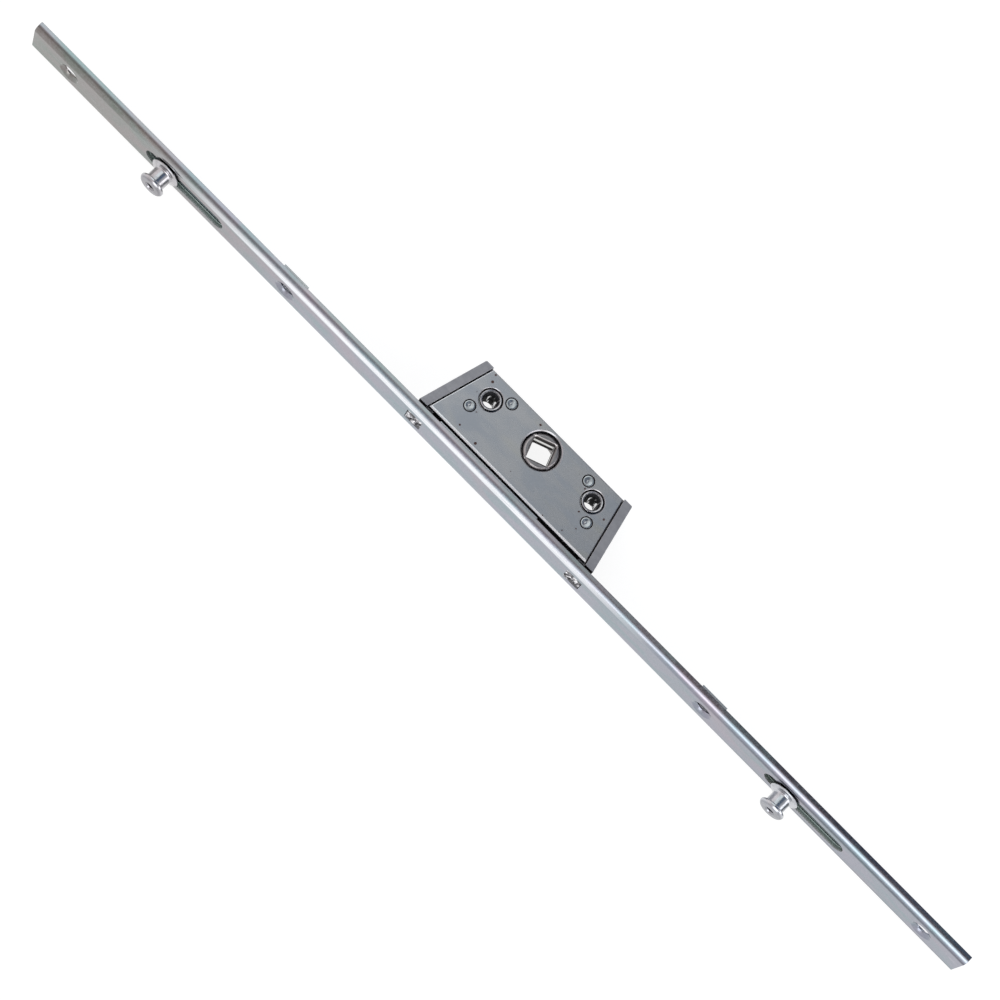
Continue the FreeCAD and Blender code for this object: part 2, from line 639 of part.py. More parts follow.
def make_cam(side):
    """Return one mushroom cam, whose head and body stand off-centre on the shank that it turns about."""
    shank = CAM_SHANK_DIAMETER / 2
    tail = CAM_TAIL_DIAMETER / 2
    washer_back = ROD_BACK_Y + WASHER_THICKNESS
    tail_front = washer_back + CAM_PLAY
    spindle = turned_piece([
        (0, CAM_COLLAR_BACK_Y),
        (shank, CAM_COLLAR_BACK_Y),
        (shank, tail_front),
        (tail, tail_front),
        (tail, tail_front + CAM_TAIL_THICKNESS),
        (0, tail_front + CAM_TAIL_THICKNESS),
    ], Y_AXIS)
    collar = CAM_COLLAR_DIAMETER / 2
    body = CAM_BODY_DIAMETER / 2
    head = CAM_HEAD_DIAMETER / 2
    mushroom = turned_piece([
        (0, CAM_COLLAR_BACK_Y),
        (collar, CAM_COLLAR_BACK_Y),
        (collar, CAM_COLLAR_FRONT_Y),
        (body, CAM_COLLAR_FRONT_Y),
        (body, CAM_BODY_FRONT_Y),
        (head, CAM_BODY_FRONT_Y),
        (head, CAM_HEAD_FRONT_Y),
        (0, CAM_HEAD_FRONT_Y),
    ], Y_AXIS).cut(hexagon_socket())
    mushroom.translate(X_AXIS * -CAM_ECCENTRICITY)
    cam = spindle.fuse(mushroom).removeSplitter()
    cam.translate(X_AXIS * (side * CAM_SPACING / 2 + REST_SHIFT))
    return cam


def make_cam_washer(side):
    """Return the square friction washer between the drive rod and a cam's riveted tail."""
    x = side * CAM_SPACING / 2 + REST_SHIFT
    back = ROD_BACK_Y + WASHER_THICKNESS
    half = WASHER_WIDTH / 2
    square = box_between(x - half, x + half, ROD_BACK_Y, back, -half, half)
    return square.cut(rod_along_y(CAM_SHANK_DIAMETER / 2 + RUNNING_GAP, ROD_BACK_Y - 1, back + 1, x))


def make_screw_guide(side):
    """Return the flanged block that carries an inner faceplate screw through the drive rod's slot."""
    x = side * INNER_SCREW_SPACING / 2
    flange_front = ROD_BACK_Y + SLIDE_GAP
    flange_back = flange_front + GUIDE_FLANGE_THICKNESS
    half = GUIDE_BLOCK_WIDTH / 2
    block = box_between(x - half, x + half, PLATE_INNER_Y, flange_back, -half, half)
    wide = GUIDE_FLANGE_WIDTH / 2
    flange = box_between(x - wide, x + wide, flange_front, flange_back, -wide, wide)
    bore = rod_along_y(SCREW_HOLE_DIAMETER / 2, PLATE_INNER_Y - 1, flange_back + 1, x)
    return block.fuse(flange).removeSplitter().cut(bore)


def make_nodes():
    """Return every sub-part by node name."""
    nodes = {
        "faceplate": make_faceplate(),
        "housing": make_housing(),
        "cover_plate": make_cover_plate(),
        "follower": make_follower(),
        "rack": make_rack(),
        "drive_rod": make_drive_rod(),
    }
    for name, x, z in rack_rivet_places():
        nodes[f"rack_rivet_{name}"] = make_rack_rivet(x, z)
    for name, x, y in rivet_places():
        nodes[f"case_rivet_{name}"] = make_case_rivet(x, y)
    for end, side in SIDES:
        nodes[f"screw_bush_{end}"] = make_screw_bush(side)
        nodes[f"cam_{end}"] = make_cam(side)
        nodes[f"cam_washer_{end}"] = make_cam_washer(side)
        nodes[f"screw_guide_{end}"] = make_screw_guide(side)
    return nodes


def main():
    """Write one STEP file for each sub-part."""
    os.makedirs("parts", exist_ok=True)
    for name, shape in make_nodes().items():
        shape.exportStep(os.path.join("parts", name + ".step"))


main()
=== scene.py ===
"""Looks of the window espagnolette gearbox: plated channel, cast gear case, mushroom cams and studio.

Sizes in the classes are millimetres. A finished mesh is scaled to metres and keeps its place in its mesh.
NEAR is how close two places count as one, OVERCUT how far a cutter reaches past what it cuts, CREASE the
angle from which an edge stays crisp, and FLAT the angle up to which neighbouring faces are joined.
"""
import logging
import math
from dataclasses import dataclass
from enum import Enum
from functools import reduce
from typing import Iterable

import bmesh
import bpy
from mathutils import Matrix, Vector


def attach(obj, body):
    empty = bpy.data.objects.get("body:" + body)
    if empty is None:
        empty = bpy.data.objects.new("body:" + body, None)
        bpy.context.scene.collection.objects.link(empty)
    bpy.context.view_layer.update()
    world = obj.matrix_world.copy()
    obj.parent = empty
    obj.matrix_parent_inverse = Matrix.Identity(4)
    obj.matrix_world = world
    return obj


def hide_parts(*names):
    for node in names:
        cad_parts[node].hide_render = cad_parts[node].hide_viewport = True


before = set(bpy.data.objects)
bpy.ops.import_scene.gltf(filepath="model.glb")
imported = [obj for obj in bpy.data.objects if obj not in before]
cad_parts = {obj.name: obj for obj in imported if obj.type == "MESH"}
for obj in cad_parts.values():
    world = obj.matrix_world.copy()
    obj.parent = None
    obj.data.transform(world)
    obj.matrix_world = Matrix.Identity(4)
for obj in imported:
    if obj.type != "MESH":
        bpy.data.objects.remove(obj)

log = logging.getLogger("gearbox")

MM = 0.001
NEAR = 0.01
OVERCUT = 1.0
CREASE = math.radians(32)
FLAT = math.radians(0.6)
ALONG_Y = Matrix.Rotation(math.radians(-90), 4, "X")
WHITE = (1, 1, 1)
# Near black of the painted shade in gaps and in the square hole's walls.
PAINTED_SHADE = (0.035, 0.03, 0.03)
Colour = tuple[float, float, float]
Point = tuple[float, float, float]
Outline = list[tuple[float, float]]
Socket = bpy.types.NodeSocket
Piece = bpy.types.Object
Blank = bmesh.types.BMesh


class Axis(Enum):
    """The axis that a turned piece or a grain follows."""

    X = (1.0, 0.0, 0.0)
    Y = (0.0, 1.0, 0.0)
    Z = (0.0, 0.0, 1.0)


class Side(Enum):
    """The two ends of the gearbox, seen from the cover plate."""

    LEFT = -1
    RIGHT = 1

    @property
    def word(self) -> str:
        """The side's name inside a node name."""
        return self.name.lower()


class Sheet:
    """The node tree of a finish or of the sky, with short calls for the nodes that they share."""

    def __init__(self, owner: bpy.types.Material | bpy.types.World, coords: str = "Object") -> None:
        """Start an empty node tree.

        Args:
            owner: the material or the world.
            coords: the coordinates that its patterns follow.
        """
        self.owner = owner
        owner.use_nodes = True
        self.tree = owner.node_tree
        self.tree.nodes.clear()
        self.coords = self.add("TexCoord", {}).outputs[coords]

    def add(self, kind: str, inputs: dict[int | str, object], **settings: object) -> bpy.types.Node:
        """Add one node.

        Args:
            kind: the node's type, without its prefix.
            inputs: another node's output, or a plain value, for each input. A colour needs no alpha.
            settings: the node's own settings.

        Returns:
            The node.
        """
        node = self.tree.nodes.new("ShaderNode" + kind)
        for key, value in settings.items():
            setattr(node, key, value)
        for key, value in inputs.items():
            socket = node.inputs[key]
            if isinstance(value, bpy.types.NodeSocket):
                self.tree.links.new(value, socket)
            else:
                socket.default_value = (*value, 1) if socket.type == "RGBA" else value
        return node

    def vectors(self, operation: str, *values: object) -> Socket:
        """Return the result of one vector node."""
        return self.add("VectorMath", dict(enumerate(values)), operation=operation).outputs[0]

    def maths(self, operation: str, first: object, second: object = 0.0) -> Socket:
        """Return the result of one arithmetic node."""
        return self.add("Math", {0: first, 1: second}, operation=operation).outputs[0]

    def times(self, *factors: object) -> Socket:
        """Return the product of two or more values."""
        return reduce(lambda first, second: self.maths("MULTIPLY", first, second), factors)

    def placed(self, *scale: float, turn: Point = (0, 0, 0), centre: Point = (0, 0, 0)) -> Socket:
        """Return coordinates moved, turned and stretched for a pattern.

        Args:
            scale: stretch along each axis, in pattern cells for each metre, or one number for all three.
            turn: turn about each axis in degrees.
            centre: the point in millimetres that becomes the pattern's origin.

        Returns:
            The vector output.
        """
        moved = self.vectors("SUBTRACT", self.coords, Vector(centre) * MM)
        stretch = scale if len(scale) == 3 else scale * 3
        return self.add("Mapping", {"Vector": moved, "Rotation": [math.radians(angle) for angle in turn],
                                    "Scale": stretch}).outputs[0]

    def noise(self, vector: Socket, detail: float = 2.0, rough: float = 0.5, warp: float = 0.0) -> Socket:
        """Return a noise value from 0 to 1, with finer layers, their strength and a distortion."""
        return self.add("TexNoise", {"Vector": vector, "Scale": 1.0, "Detail": detail, "Roughness": rough,
                                     "Distortion": warp}).outputs[0]

    def cells(self, vector: Socket) -> tuple[Socket, Socket]:
        """Return the distance to the nearest cell point, and the cell's random colour."""
        node = self.add("TexVoronoi", {"Vector": vector, "Scale": 1.0})
        return node.outputs["Distance"], node.outputs["Color"]

    def ranged(self, value: Socket, low: float, high: float, start: float = 0.0, end: float = 1.0) -> Socket:
        """Return a value eased from the range low..high into the range start..end."""
        return self.add("MapRange", {"Value": value, "From Min": low, "From Max": high, "To Min": start,
                                     "To Max": end}, interpolation_type="SMOOTHSTEP").outputs[0]

    def blend(self, amount: object, first: object, second: object, way: str = "MIX") -> Socket:
        """Return the second colour laid on the first by an amount from 0 to 1, in a given way."""
        return self.add("Mix", {"Factor": amount, 6: first, 7: second}, data_type="RGBA",
                        blend_type=way).outputs[2]

    def tinted(self, colour: Socket, tint: object) -> Socket:
        """Return a colour multiplied by a tint."""
        return self.blend(1.0, colour, tint, "MULTIPLY")

    def spokes(self, axis: Axis, centre: Point, count: float, drift: float) -> Socket:
        """Return a vector that changes round an axis and slowly along it, for streaks of painted shade.

        Args:
            axis: the axis that the streaks follow.
            centre: a point in millimetres on the axis.
            count: how fast the vector changes round the axis.
            drift: how fast it changes along the axis, for each millimetre.

        Returns:
            The vector output.
        """
        place = self.placed(1000, centre=centre)
        unit = self.vectors("NORMALIZE", self.vectors("MULTIPLY", place, [1.0 - part for part in axis.value]))
        rounds = self.vectors("MULTIPLY", unit, (count, count, count))
        return self.vectors("MULTIPLY_ADD", place, [part * drift for part in axis.value], rounds)

    def split(self, vector: Socket) -> list[Socket]:
        """Return the three parts of a vector."""
        return list(self.add("SeparateXYZ", {0: vector}).outputs)

    def spot(self, centre: Point = (0, 0, 0)) -> list[Socket]:
        """Return the place in millimetres, counted from a centre."""
        return self.split(self.placed(1000, centre=centre))

    def radius(self, axis: Axis, centre: Point) -> tuple[Socket, Socket]:
        """Return how far a point stands from a turning axis, and how far along it.

        Args:
            axis: the turning axis.
            centre: a point in millimetres on the axis.

        Returns:
            The distance in millimetres from the axis and the place in millimetres along it.
        """
        parts = self.spot(centre)
        along = parts.pop(list(Axis).index(axis))
        squares = self.maths("ADD", *[self.times(part, part) for part in parts])
        return self.maths("SQRT", squares), along

    def soft_edge(self, width: float) -> tuple[Socket, Socket]:
        """Return a normal rounded at the edges, and a mask that is 1 on them.

        Args:
            width: the rounding's radius in millimetres.

        Returns:
            The normal and the mask outputs.
        """
        rounded = self.add("Bevel", {"Radius": width * MM}, samples=6).outputs[0]
        plain = self.add("NewGeometry", {}).outputs["Normal"]
        cosine = self.add("VectorMath", {0: rounded, 1: plain}, operation="DOT_PRODUCT").outputs["Value"]
        return rounded, self.ranged(cosine, 0.99, 0.8)

    def crevice(self, reach: float) -> Socket:
        """Return a mask for painted shade that is 1 deep in gaps whose walls stand closer than a reach in
        millimetres.
        """
        node = self.add("AmbientOcclusion", {"Distance": reach * MM}, samples=6)
        return self.ranged(node.outputs["AO"], 0.2, 0.62, 1, 0)

    def bump(self, height: Socket, depth: float, normal: Socket, strength: float) -> Socket:
        """Return a normal raised by a height pattern whose depth is in millimetres."""
        return self.add("Bump", {"Strength": strength, "Distance": depth * MM, "Height": height,
                                 "Normal": normal}).outputs[0]

    def metal(self, colour: object, roughness: object, normal: Socket, metallic: object,
              specular: object = 0.5) -> bpy.types.Material:
        """Close the tree with a metal surface.

        Args:
            colour: the base colour.
            roughness: the roughness.
            normal: the surface normal.
            metallic: how metallic the surface is.
            specular: the specular level where it isn't metallic.

        Returns:
            The finished material.
        """
        surface = self.add("BsdfPrincipled", {
            "Base Color": colour, "Roughness": roughness, "Metallic": metallic, "Normal": normal,
            "Specular IOR Level": specular})
        self.add("OutputMaterial", {"Surface": surface.outputs[0]})
        return self.owner


@dataclass(frozen=True)
class PlatedSteel:
    """Zinc plated rolled steel: drifting tints, fine rolling lines, scratches and a few specks."""

    name: str
    base: Colour
    cool: Colour
    warm: Colour
    edge: Colour
    roughness: float = 0.3
    line_turn: float = 0.0
    line_depth: float = 0.0022
    scratches: float = 0.3
    specks: float = 0.0
    edge_width: float = 0.12
    # How far the painted shade in gaps reaches, in millimetres.
    shade_reach: float = 1.6
    shine: float = 1.0
    # Tints along the channel from the left end, partly the plating's colour and partly painted light.
    ends: tuple[Colour, Colour] | None = None
    # Painted light on the top of the rolled corners, graded from the left end to the right.
    flank_light: tuple[Colour, Colour] | None = None
    # Colour of the painted highlight along the middle of the rolled corners.
    corner_highlight: Colour | None = None
    # Tints of the slot walls' bands, partly shear zones and partly painted light and shade.
    sheared: tuple[Colour, Colour, Colour] | None = None

    def make(self) -> bpy.types.Material:
        """Return the finish as a material.

        Returns:
            The material.
        """
        sheet = Sheet(bpy.data.materials.new(self.name))
        clouds = sheet.noise(sheet.placed(70, 160, 160), 3, warp=0.4)
        drift = sheet.noise(sheet.placed(26, 90, 90, centre=(31, 7, 3)), 2, warp=1.2)
        colour = sheet.blend(sheet.ranged(clouds, 0.35, 0.68), self.base, self.cool)
        colour = sheet.blend(sheet.ranged(drift, 0.5, 0.72, 0, 0.6), colour, self.warm)
        if self.ends or self.corner_highlight or self.sheared:
            colour = self.graded(sheet, colour)
        lines = sheet.noise(sheet.placed(90, 5200, 5200, turn=(0, 0, self.line_turn)), 2, 0.6)
        mottle = sheet.noise(sheet.placed(1100), 3, 0.65)
        marks = self.scratch_mask(sheet)
        normal, edges = sheet.soft_edge(self.edge_width)
        for mask in (sheet.ranged(mottle, 0.3, 0.8, 0, 0.16), sheet.times(marks, 0.5),
                     sheet.times(edges, 0.55)):
            colour = sheet.blend(mask, colour, self.edge)
        # Painted shade: near black laid in gaps and corners.
        colour = sheet.blend(sheet.crevice(self.shade_reach), colour, PAINTED_SHADE)
        cloudy = sheet.ranged(clouds, 0.3, 0.75, self.roughness - 0.04, self.roughness + 0.05)
        roughness = sheet.maths("ADD", cloudy, sheet.ranged(mottle, 0.3, 0.8, -0.03, 0.05))
        for relief, depth, strength in ((lines, self.line_depth, 0.5), (mottle, 0.004, 0.45),
                                        (marks, -0.006, 0.5)):
            normal = sheet.bump(relief, depth, normal, strength)
        metallic: object = self.shine
        if self.specks > 0:
            dots = self.speck_mask(sheet)
            colour = sheet.blend(dots, colour, (0.062, 0.030, 0.026))
            roughness = sheet.maths("ADD", roughness, sheet.times(dots, 0.4))
            normal = sheet.bump(dots, -0.03, normal, 0.7)
            metallic = sheet.maths("SUBTRACT", self.shine, sheet.times(dots, 0.8 * self.shine))
        return sheet.metal(colour, roughness, normal, metallic)

    def graded(self, sheet: Sheet, colour: Socket) -> Socket:
        """Lay the tints, painted light and painted shade that belong to one place of the piece on its colour.

        Args:
            sheet: the node tree.
            colour: the colour that the whole piece has.

        Returns:
            The colour output.
        """
        along, across, up = sheet.spot()
        off = sheet.maths("ABSOLUTE", up)
        # The tint graded along the channel is partly the plating's colour and partly painted light, the left
        # end darker and yellower.
        if self.ends is not None:
            place = sheet.ranged(along, -170, -60)
            colour = sheet.tinted(colour, sheet.blend(place, *self.ends))
            # Painted light: the top of the rolled corners lighter, most at the left end.
            if self.flank_light is not None:
                flank = sheet.tinted(colour, sheet.blend(place, *self.flank_light))
                colour = sheet.blend(sheet.ranged(off, 7.72, 7.95), colour, flank)
        if self.corner_highlight is not None:
            # Painted highlight along the middle of the rolled corners, broken by noise, and a painted dark
            # line where the corner meets the front at the right end.
            bend = sheet.times(sheet.ranged(across, -18.95, -19.75), sheet.ranged(off, 5.0, 6.1))
            reach = sheet.times(sheet.ranged(along, -165, -85), sheet.ranged(along, 75, 20))
            highlight_noise = sheet.noise(sheet.placed(60, 1500, 1500), 3, 0.6)
            rolled = sheet.times(bend, reach, sheet.ranged(highlight_noise, 0.25, 0.6, 0.7, 1))
            dark_line_shade = sheet.times(sheet.ranged(across, -19.7, -19.9), sheet.ranged(off, 4.8, 5.5),
                                sheet.ranged(along, 60, 130))
            colour = sheet.blend(rolled, colour, self.corner_highlight)
            colour = sheet.tinted(colour, sheet.blend(dark_line_shade, WHITE, (0.52, 0.53, 0.55)))
        # Bands across the slot walls, partly the shear zones of the punched edge and partly painted light and
        # shade: light at the back, dark in the middle, lighter on the rolled front edge.
        if self.sheared is not None:
            bright, torn, rolled = self.sheared
            wall = sheet.blend(sheet.ranged(across, -18.6, -18.95), bright, torn)
            colour = sheet.tinted(colour, sheet.blend(sheet.ranged(across, -19.1, -19.95), wall, rolled))
        return colour

    def scratch_mask(self, sheet: Sheet) -> Socket:
        """Return a mask of faint hair scratches in two directions.

        Args:
            sheet: the node tree.

        Returns:
            The mask output.
        """
        hairs = []
        for turn, shift in ((24, 11), (-61, 47)):
            place = sheet.placed(130, 6400, 900, turn=(0, 0, turn), centre=(shift, shift, 0))
            hairs.append(sheet.ranged(sheet.noise(place, 1, warp=0.2), 0.72, 0.78))
        return sheet.times(sheet.maths("MAXIMUM", *hairs), self.scratches)

    def speck_mask(self, sheet: Sheet) -> Socket:
        """Return a mask of small dark specks, sparse and uneven in size.

        Args:
            sheet: the node tree.

        Returns:
            The mask output.
        """
        wobble = sheet.noise(sheet.placed(3000), 1)
        distance, tone = sheet.cells(sheet.placed(300, centre=(5, 2, 40)))
        size = sheet.ranged(sheet.split(tone)[0], 1.0 - self.specks, 1.0, 0.0, 0.15)
        reach = sheet.maths("ADD", distance, sheet.ranged(wobble, 0.2, 0.8, -0.02, 0.02))
        return sheet.ranged(sheet.maths("SUBTRACT", size, reach), -0.005, 0.02)


@dataclass(frozen=True)
class CastZinc:
    """Satin die-cast zinc: flow clouds, a pitted skin and rubbed edges."""

    name: str
    base: Colour
    dark: Colour
    edge: Colour
    roughness: float = 0.42
    pit_depth: float = 0.02
    edge_width: float = 0.18
    # How far the painted shade in gaps reaches, in millimetres.
    shade_reach: float = 2.2
    # Where in Y the front wall stands that gets painted shade below the cover.
    shaded_wall: float | None = None
    rubbed_rim: float | None = None
    # The square hole's half width, inside which its walls get painted shade.
    broached: float | None = None
    staked_from: float | None = None

    def make(self) -> bpy.types.Material:
        """Return the finish as a material.

        Returns:
            The material.
        """
        sheet = Sheet(bpy.data.materials.new(self.name))
        flow = sheet.noise(sheet.placed(170, 330, 330), 4, 0.65, 0.3)
        grain = sheet.noise(sheet.placed(2300), 3, 0.7)
        blotch = sheet.noise(sheet.placed(900, centre=(9, 4, 2)), 3, 0.6)
        colour = sheet.blend(sheet.ranged(flow, 0.25, 0.75, 0.1, 0.8), self.base, self.dark)
        colour = sheet.blend(sheet.ranged(blotch, 0.55, 0.75, 0, 0.35), colour, self.dark)
        if self.rubbed_rim is not None:
            away, _ = sheet.radius(Axis.Z, (0, 0, 0))
            rim = sheet.ranged(away, self.rubbed_rim - 0.1, self.rubbed_rim + 0.1, 0, 0.35)
            colour = sheet.blend(rim, colour, self.edge)
        normal, edges = sheet.soft_edge(self.edge_width)
        colour = sheet.blend(sheet.times(edges, 0.6), colour, self.edge)
        distance, tone = sheet.cells(sheet.placed(620))
        size = sheet.ranged(sheet.split(tone)[1], 0.7, 1.0, 0.0, 0.2)
        pits = sheet.ranged(sheet.maths("SUBTRACT", size, distance), -0.03, 0.06)
        colour = sheet.blend(sheet.times(pits, 0.45), colour, self.dark)
        # Painted shade: near black laid in gaps and corners.
        colour = sheet.blend(sheet.crevice(self.shade_reach), colour, (0.016, 0.014, 0.014))
        colour, shade_mask = self.wall_shade_and_band(sheet, colour)
        roughness = sheet.ranged(grain, 0.25, 0.8, self.roughness - 0.07, self.roughness + 0.1)
        for relief, depth, strength in ((grain, self.pit_depth * 0.5, 0.6), (blotch, self.pit_depth, 0.5),
                                        (pits, -self.pit_depth, 0.6)):
            normal = sheet.bump(relief, depth, normal, strength)
        if self.staked_from is not None:
            colour, normal = self.staked(sheet, colour, normal)
        dull = sheet.maths("ADD", roughness, sheet.times(shade_mask, 0.5))
        bare = sheet.maths("SUBTRACT", 1.0, shade_mask)
        return sheet.metal(colour, dull, normal, bare, sheet.times(bare, 0.5))

    def wall_shade_and_band(self, sheet: Sheet, colour: Socket) -> tuple[Socket, object]:
        """Lay painted shade on the broached walls of the square hole, with a painted highlight band across
        them, or on the wall behind the cover's front edge.

        Args:
            sheet: the node tree.
            colour: the bare colour.

        Returns:
            The colour and the mask of painted shade, which also makes the metal dull and less metallic.
        """
        shade_mask: object = 0.0
        # Painted shade: the square hole's walls near black and dulled, with a painted highlight band part way
        # down.
        if self.broached is not None:
            away, up = sheet.radius(Axis.Z, (0, 0, 0))
            inside = sheet.times(sheet.ranged(away, self.broached, self.broached - 0.1),
                                 sheet.ranged(up, 5.2, 4.9))
            lit_band = sheet.times(sheet.ranged(up, 0.9, 1.5), sheet.ranged(up, 3.2, 2.6))
            wall = sheet.blend(lit_band, PAINTED_SHADE, (0.86, 0.86, 0.84))
            colour = sheet.blend(sheet.times(inside, 0.9), colour, wall)
            shade_mask = sheet.times(inside, sheet.maths("SUBTRACT", 0.8, sheet.times(lit_band, 0.8)))
        # Painted shade: the front wall behind the cover's front edge, near black and dull.
        if self.shaded_wall is not None:
            _, across, up = sheet.spot()
            off = sheet.maths("ABSOLUTE", sheet.maths("SUBTRACT", across, self.shaded_wall))
            low = sheet.ranged(sheet.maths("ABSOLUTE", up), 4.3, 4.1, 0, 0.95)
            shade_mask = sheet.times(sheet.ranged(off, 0.15, 0.4, 1, 0), low)
            colour = sheet.blend(shade_mask, colour, (0.010, 0.008, 0.008))
        return colour, shade_mask

    def staked(self, sheet: Sheet, colour: Socket, normal: Socket) -> tuple[Socket, Socket]:
        """Mark the tenons' ends with the staking punch's raised lobes, with a painted highlight on the lobes
        and painted shade between them.

        Args:
            sheet: the node tree.
            colour: the colour of the casting.
            normal: the normal of its skin.

        Returns:
            The colour and the normal outputs.
        """
        struck = sheet.ranged(sheet.spot()[1], self.staked_from, self.staked_from - 0.3)
        lobes, _ = sheet.cells(sheet.placed(560, 560, 470, turn=(0, 34, 0), centre=(1.1, 0, 0.4)))
        lit_crowns = sheet.times(sheet.ranged(lobes, 0.16, 0.5, 1, 0), struck)
        valley_shade = sheet.times(sheet.ranged(lobes, 0.42, 0.62), struck)
        # Painted highlight on the raised lobes and painted shade between them, on a lighter struck face.
        for mask, share, tone in ((struck, 0.45, self.edge), (lit_crowns, 0.9, (0.95, 0.95, 0.96)),
                                  (valley_shade, 0.92, (0.02, 0.02, 0.024))):
            colour = sheet.blend(sheet.times(mask, share), colour, tone)
        return colour, sheet.bump(lit_crowns, 0.7, normal, 0.9)


@dataclass(frozen=True)
class TurnedMetal:
    """Bright turned steel with fine tool rings about one axis."""

    name: str
    base: Colour
    dull: Colour
    axis: Axis
    centre: Point
    roughness: float = 0.18
    ring_depth: float = 0.006
    ring_pitch: float = 0.16
    inner: float = 0.0
    shaded_end: float | None = None

    def make(self) -> bpy.types.Material:
        """Return the finish as a material.

        Returns:
            The material.
        """
        sheet = Sheet(bpy.data.materials.new(self.name))
        radius, along = sheet.radius(self.axis, self.centre)
        pair = sheet.add("CombineXYZ", {0: sheet.maths("DIVIDE", radius, self.ring_pitch),
                                        1: sheet.maths("DIVIDE", along, self.ring_pitch)})
        rings = sheet.noise(pair.outputs[0], 3, 0.6)
        smear = sheet.noise(sheet.placed(420), 3, warp=0.6)
        colour = sheet.blend(sheet.ranged(smear, 0.38, 0.72), self.base, self.dull)
        colour = sheet.blend(sheet.ranged(rings, 0.5, 0.8, 0, 0.4), colour, self.dull)
        ringed = sheet.ranged(rings, 0.3, 0.75, self.roughness - 0.05, self.roughness + 0.06)
        roughness = sheet.maths("ADD", ringed, sheet.ranged(smear, 0.4, 0.75, 0.0, 0.1))
        bare: object = 1.0
        # Painted shade: dark, dull streaks round the inside of the bore and its mouth.
        if self.inner > 0:
            shade_streaks = sheet.noise(sheet.spokes(self.axis, self.centre, 1.9, 0.12), 2, warp=0.2)
            inside = sheet.ranged(radius, self.inner + 0.05, self.inner - 0.12)
            shade = sheet.times(sheet.ranged(shade_streaks, 0.35, 0.43), inside)
            colour = sheet.blend(sheet.times(shade, 0.97), colour, (0.010, 0.010, 0.014))
            roughness = sheet.maths("ADD", roughness, sheet.times(shade, 0.5))
            bare = sheet.maths("SUBTRACT", 1.0, sheet.times(shade, 0.95))
        # Painted shade: the head's end face and its rounded edge darker.
        if self.shaded_end is not None:
            end_shade = sheet.ranged(along, self.shaded_end + 0.8, self.shaded_end + 0.2)
            colour = sheet.tinted(colour, sheet.blend(end_shade, WHITE, (0.62, 0.62, 0.64)))
        # Painted shade: near black laid in gaps and corners.
        colour = sheet.blend(sheet.crevice(1.2), colour, (0.02, 0.018, 0.018))
        normal, _ = sheet.soft_edge(0.06)
        normal = sheet.bump(rings, self.ring_depth, normal, 0.55)
        return sheet.metal(colour, roughness, normal, bare, sheet.times(bare, 0.5))


@dataclass(frozen=True)
class FloorWhite:
    """A plain white floor that keeps the object's shadow."""

    name: str = "studio_floor"
    colour: Colour = (0.20, 0.20, 0.20)
    haze: Colour = (0.22, 0.22, 0.22)
    lift: float = 0.89

    def make(self) -> bpy.types.Material:
        """Return the floor's material.

        Returns:
            The material.
        """
        sheet = Sheet(bpy.data.materials.new(self.name))
        drift = sheet.noise(sheet.placed(3), 2)
        tone = sheet.blend(sheet.ranged(drift, 0.3, 0.7, 0, 0.5), self.colour, self.haze)
        diffuse = sheet.add("BsdfDiffuse", {"Color": tone})
        path = sheet.add("LightPath", {}).outputs
        seen = sheet.maths("MAXIMUM", path["Is Camera Ray"], path["Is Glossy Ray"])
        seen = sheet.maths("MAXIMUM", seen, path["Is Transmission Ray"])
        glow = sheet.add("Emission", {"Strength": sheet.times(seen, self.lift)})
        both = sheet.add("AddShader", {0: diffuse.outputs[0], 1: glow.outputs[0]})
        sheet.add("OutputMaterial", {"Surface": both.outputs[0]})
        return sheet.owner


Finish = PlatedSteel | CastZinc | TurnedMetal | FloorWhite


